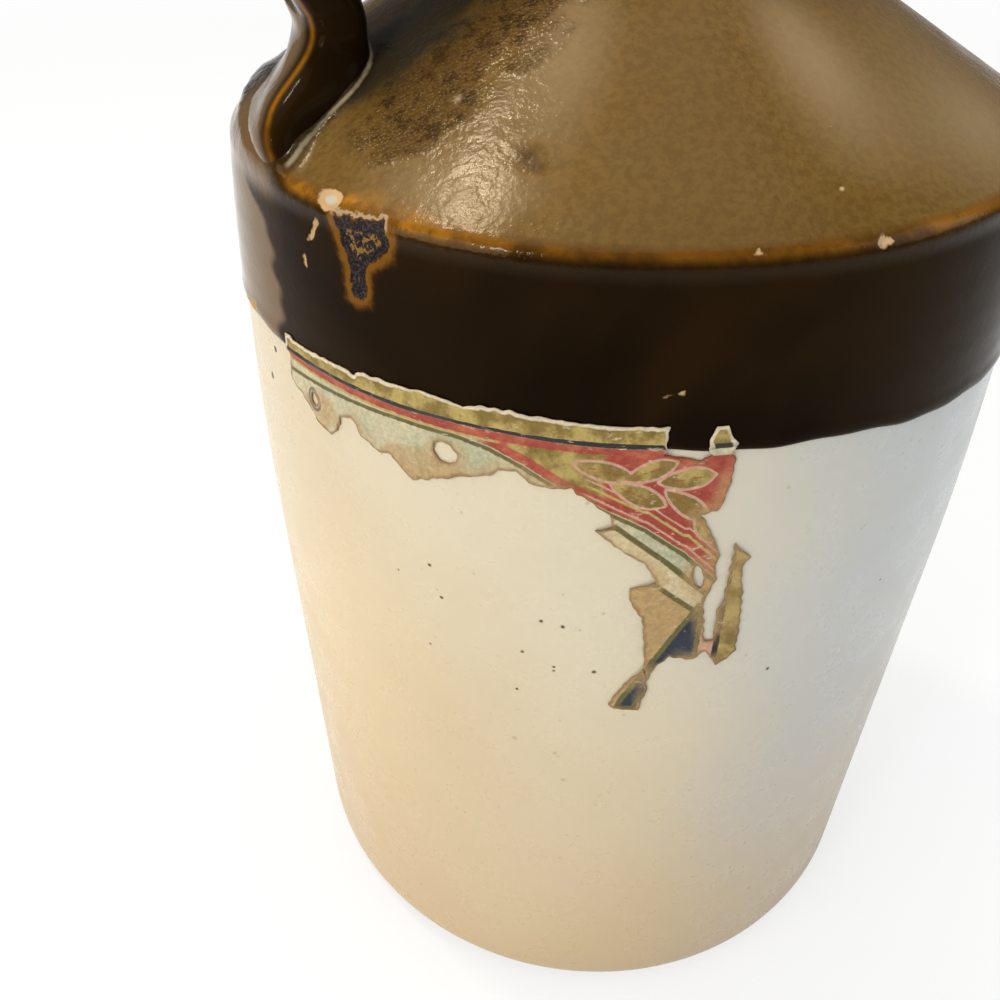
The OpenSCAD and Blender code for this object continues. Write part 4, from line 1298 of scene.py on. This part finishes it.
# Bare stoneware with iron spots, worn grey where it stands. wornTo is in metres.
clay = {
    "body": (0.60, 0.46, 0.30), "bodyDark": (0.47, 0.33, 0.19), "iron": (0.10, 0.06, 0.035),
    "worn": (0.26, 0.19, 0.13), "wornTo": 0.0022, "cells": 330, "level": 0.3, "bump": 0.0003,
    "mid": (110, 5, 0.6), "fine": (1300, 3, 0.6), "ironAt": (75, 2),
}


def clayMaterial():
    mat, g = newMaterial("bareStoneware")
    where = g.place()
    mid, fine, ironAt = g.noises(where, clay, "mid", "fine", "ironAt")
    colour = g.mix(g.span(mid, 0.35, 0.68), clay["body"], clay["bodyDark"])
    iron = g.times(g.span(g.cells(where, clay["cells"]), 0.2, 0.1), g.span(ironAt, 0.5, 0.6))
    colour = g.lay(colour, iron, clay["iron"], 0.7)
    worn = g.span(g.axes(where)[2], clay["wornTo"], 0.0)
    colour = g.lay(colour, worn, clay["worn"], g.span(mid, 0.4, 0.6, 0.1, 0.55))
    height = g.plus(g.times(mid, 0.7), g.times(fine, 0.5))
    g.skin(colour, g.span(fine, 0.3, 0.7, 0.68, 0.86), clay["level"], height, clay["bump"])
    return mat


# The glaze inside
liner = {
    "dark": (0.060, 0.026, 0.010), "brown": (0.13, 0.06, 0.02), "mid": (60, 4, 0.6),
    "level": 0.5, "bump": 0.0004,
}


def linerMaterial():
    mat, g = newMaterial("linerGlaze")
    mid = g.noise(g.place(), *liner["mid"])
    colour = g.mix(g.span(mid, 0.35, 0.65), liner["dark"], liner["brown"])
    g.skin(colour, g.span(mid, 0.3, 0.7, 0.14, 0.26), liner["level"], mid, liner["bump"])
    return mat


# Floor and light, in metres. The floor shows paler than it is lit, up to plain white far out.
studio = {
    "floor": (0.88, 0.88, 0.88), "floorRough": 0.9, "floorLevel": 0.0, "floorHalf": 8.0,
    "glow": (0.68, 1.0), "glowFrom": (0.6, 2.0),
    "white": (1.0, 1.0, 1.0), "world": (0.60, 0.61, 0.62), "worldGloss": (0.12, 0.12, 0.12),
    # size, place, aim, watts, colour
    "lamps": {
        "overhead": (1.6, (-0.1, 0.3, 1.7), (0, 0, 0.2), 12.5, (1.0, 0.94, 0.84)),
        "leftSoft": (0.9, (-1.3, -0.5, 0.8), (0, 0, 0.15), 9.0, (1.0, 0.88, 0.72)),
        "rightSoft": (0.9, (1.2, -0.7, 0.9), (0, 0, 0.15), 3.0, (0.62, 0.82, 1.0)),
        "window": (0.14, (-0.92, -0.61, 0.91), (-0.06, -0.08, 0.26), 2.4, (0.60, 0.80, 1.0)),
        "key": (0.17, (-0.52, 0.58, 1.95), (-0.06, -0.07, 0.26), 8.0, (1.0, 0.95, 0.84)),
    },
}


def buildStudio():
    s = studio
    mat, g = newMaterial("paleFloor")
    surface = g.tree.nodes["Principled BSDF"]
    g.feed(surface.inputs["Base Color"], s["floor"])
    g.feed(surface.inputs["Roughness"], s["floorRough"])
    g.feed(surface.inputs["Specular IOR Level"], s["floorLevel"])
    glow = g.add("ShaderNodeEmission")
    g.feed(glow.inputs["Strength"], 1.0)
    share = g.span(g.vector("LENGTH", g.place()), *s["glowFrom"], *s["glow"])
    g.shownAs(g.tree.nodes["Material Output"], surface.outputs[0], glow.outputs[0], share)
    corners = [(x * s["floorHalf"], y * s["floorHalf"], 0) for x, y in ((-1, -1), (1, -1), (1, 1), (-1, 1))]
    floor = meshFrom("floor", corners, [[0, 1, 2, 3]])
    dress(floor, mat)
    for name, (size, at, aim, watts, colour) in s["lamps"].items():
        data = bpy.data.lights.new(name, "AREA")
        data.size, data.energy, data.color = size, watts, colour
        lamp = bpy.data.objects.new(name, data)
        lamp.location = at
        lamp.rotation_euler = (Vector(aim) - Vector(at)).to_track_quat("-Z", "Y").to_euler()
        bpy.context.scene.collection.objects.link(lamp)
    world = bpy.data.worlds.new("studioWorld")
    bpy.context.scene.world = world
    world.use_nodes = True
    g = Wiring(world.node_tree)
    back, white = g.tree.nodes["Background"], g.add("ShaderNodeBackground")
    glossy = g.add("ShaderNodeLightPath").outputs["Is Glossy Ray"]
    g.feed(back.inputs["Color"], g.mix(glossy, s["world"], s["worldGloss"]))
    g.feed(white.inputs["Color"], s["white"])
    g.shownAs(g.tree.nodes["World Output"], back.outputs[0], white.outputs[0])


makeCamera()
bpy.context.scene.view_settings.view_transform = "Standard"
buildStudio()
print("studio ready")

brown = buildBrownGlaze()
dress(brown, brownMaterial())
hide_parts("brown_glaze_coat")
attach(brown, "jug")
print("brown glaze done")

cream = buildCreamGlaze()
dress(cream, creamMaterial())
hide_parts("cream_glaze_coat")
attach(cream, "jug")
print("cream glaze done")

strap = buildHandle()
dress(strap, strapMaterial())
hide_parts("handle")
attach(strap, "jug")
print("handle done")

paper = labelMaterial()
for name, outline, holes, node in (
    ("labelMain", label["main"], label["holes"], "label_main_scrap"),
    ("labelLower", label["lower"], [], "label_lower_scrap"),
):
    scrap = buildScrap(name, outline, holes, 11)
    dress(scrap, paper)
    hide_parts(node)
    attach(scrap, "jug")
print("label done")

bung = buildCork()
dress(bung, corkMaterial())
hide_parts("cork")
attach(bung, "stopper")

stoneware = clayMaterial()
dress(nodes["jar"], stoneware)
dress(nodes["shoulder_and_neck"], stoneware)
dress(nodes["liner_glaze_coat"], linerMaterial())
print("cork, clay and liner done")
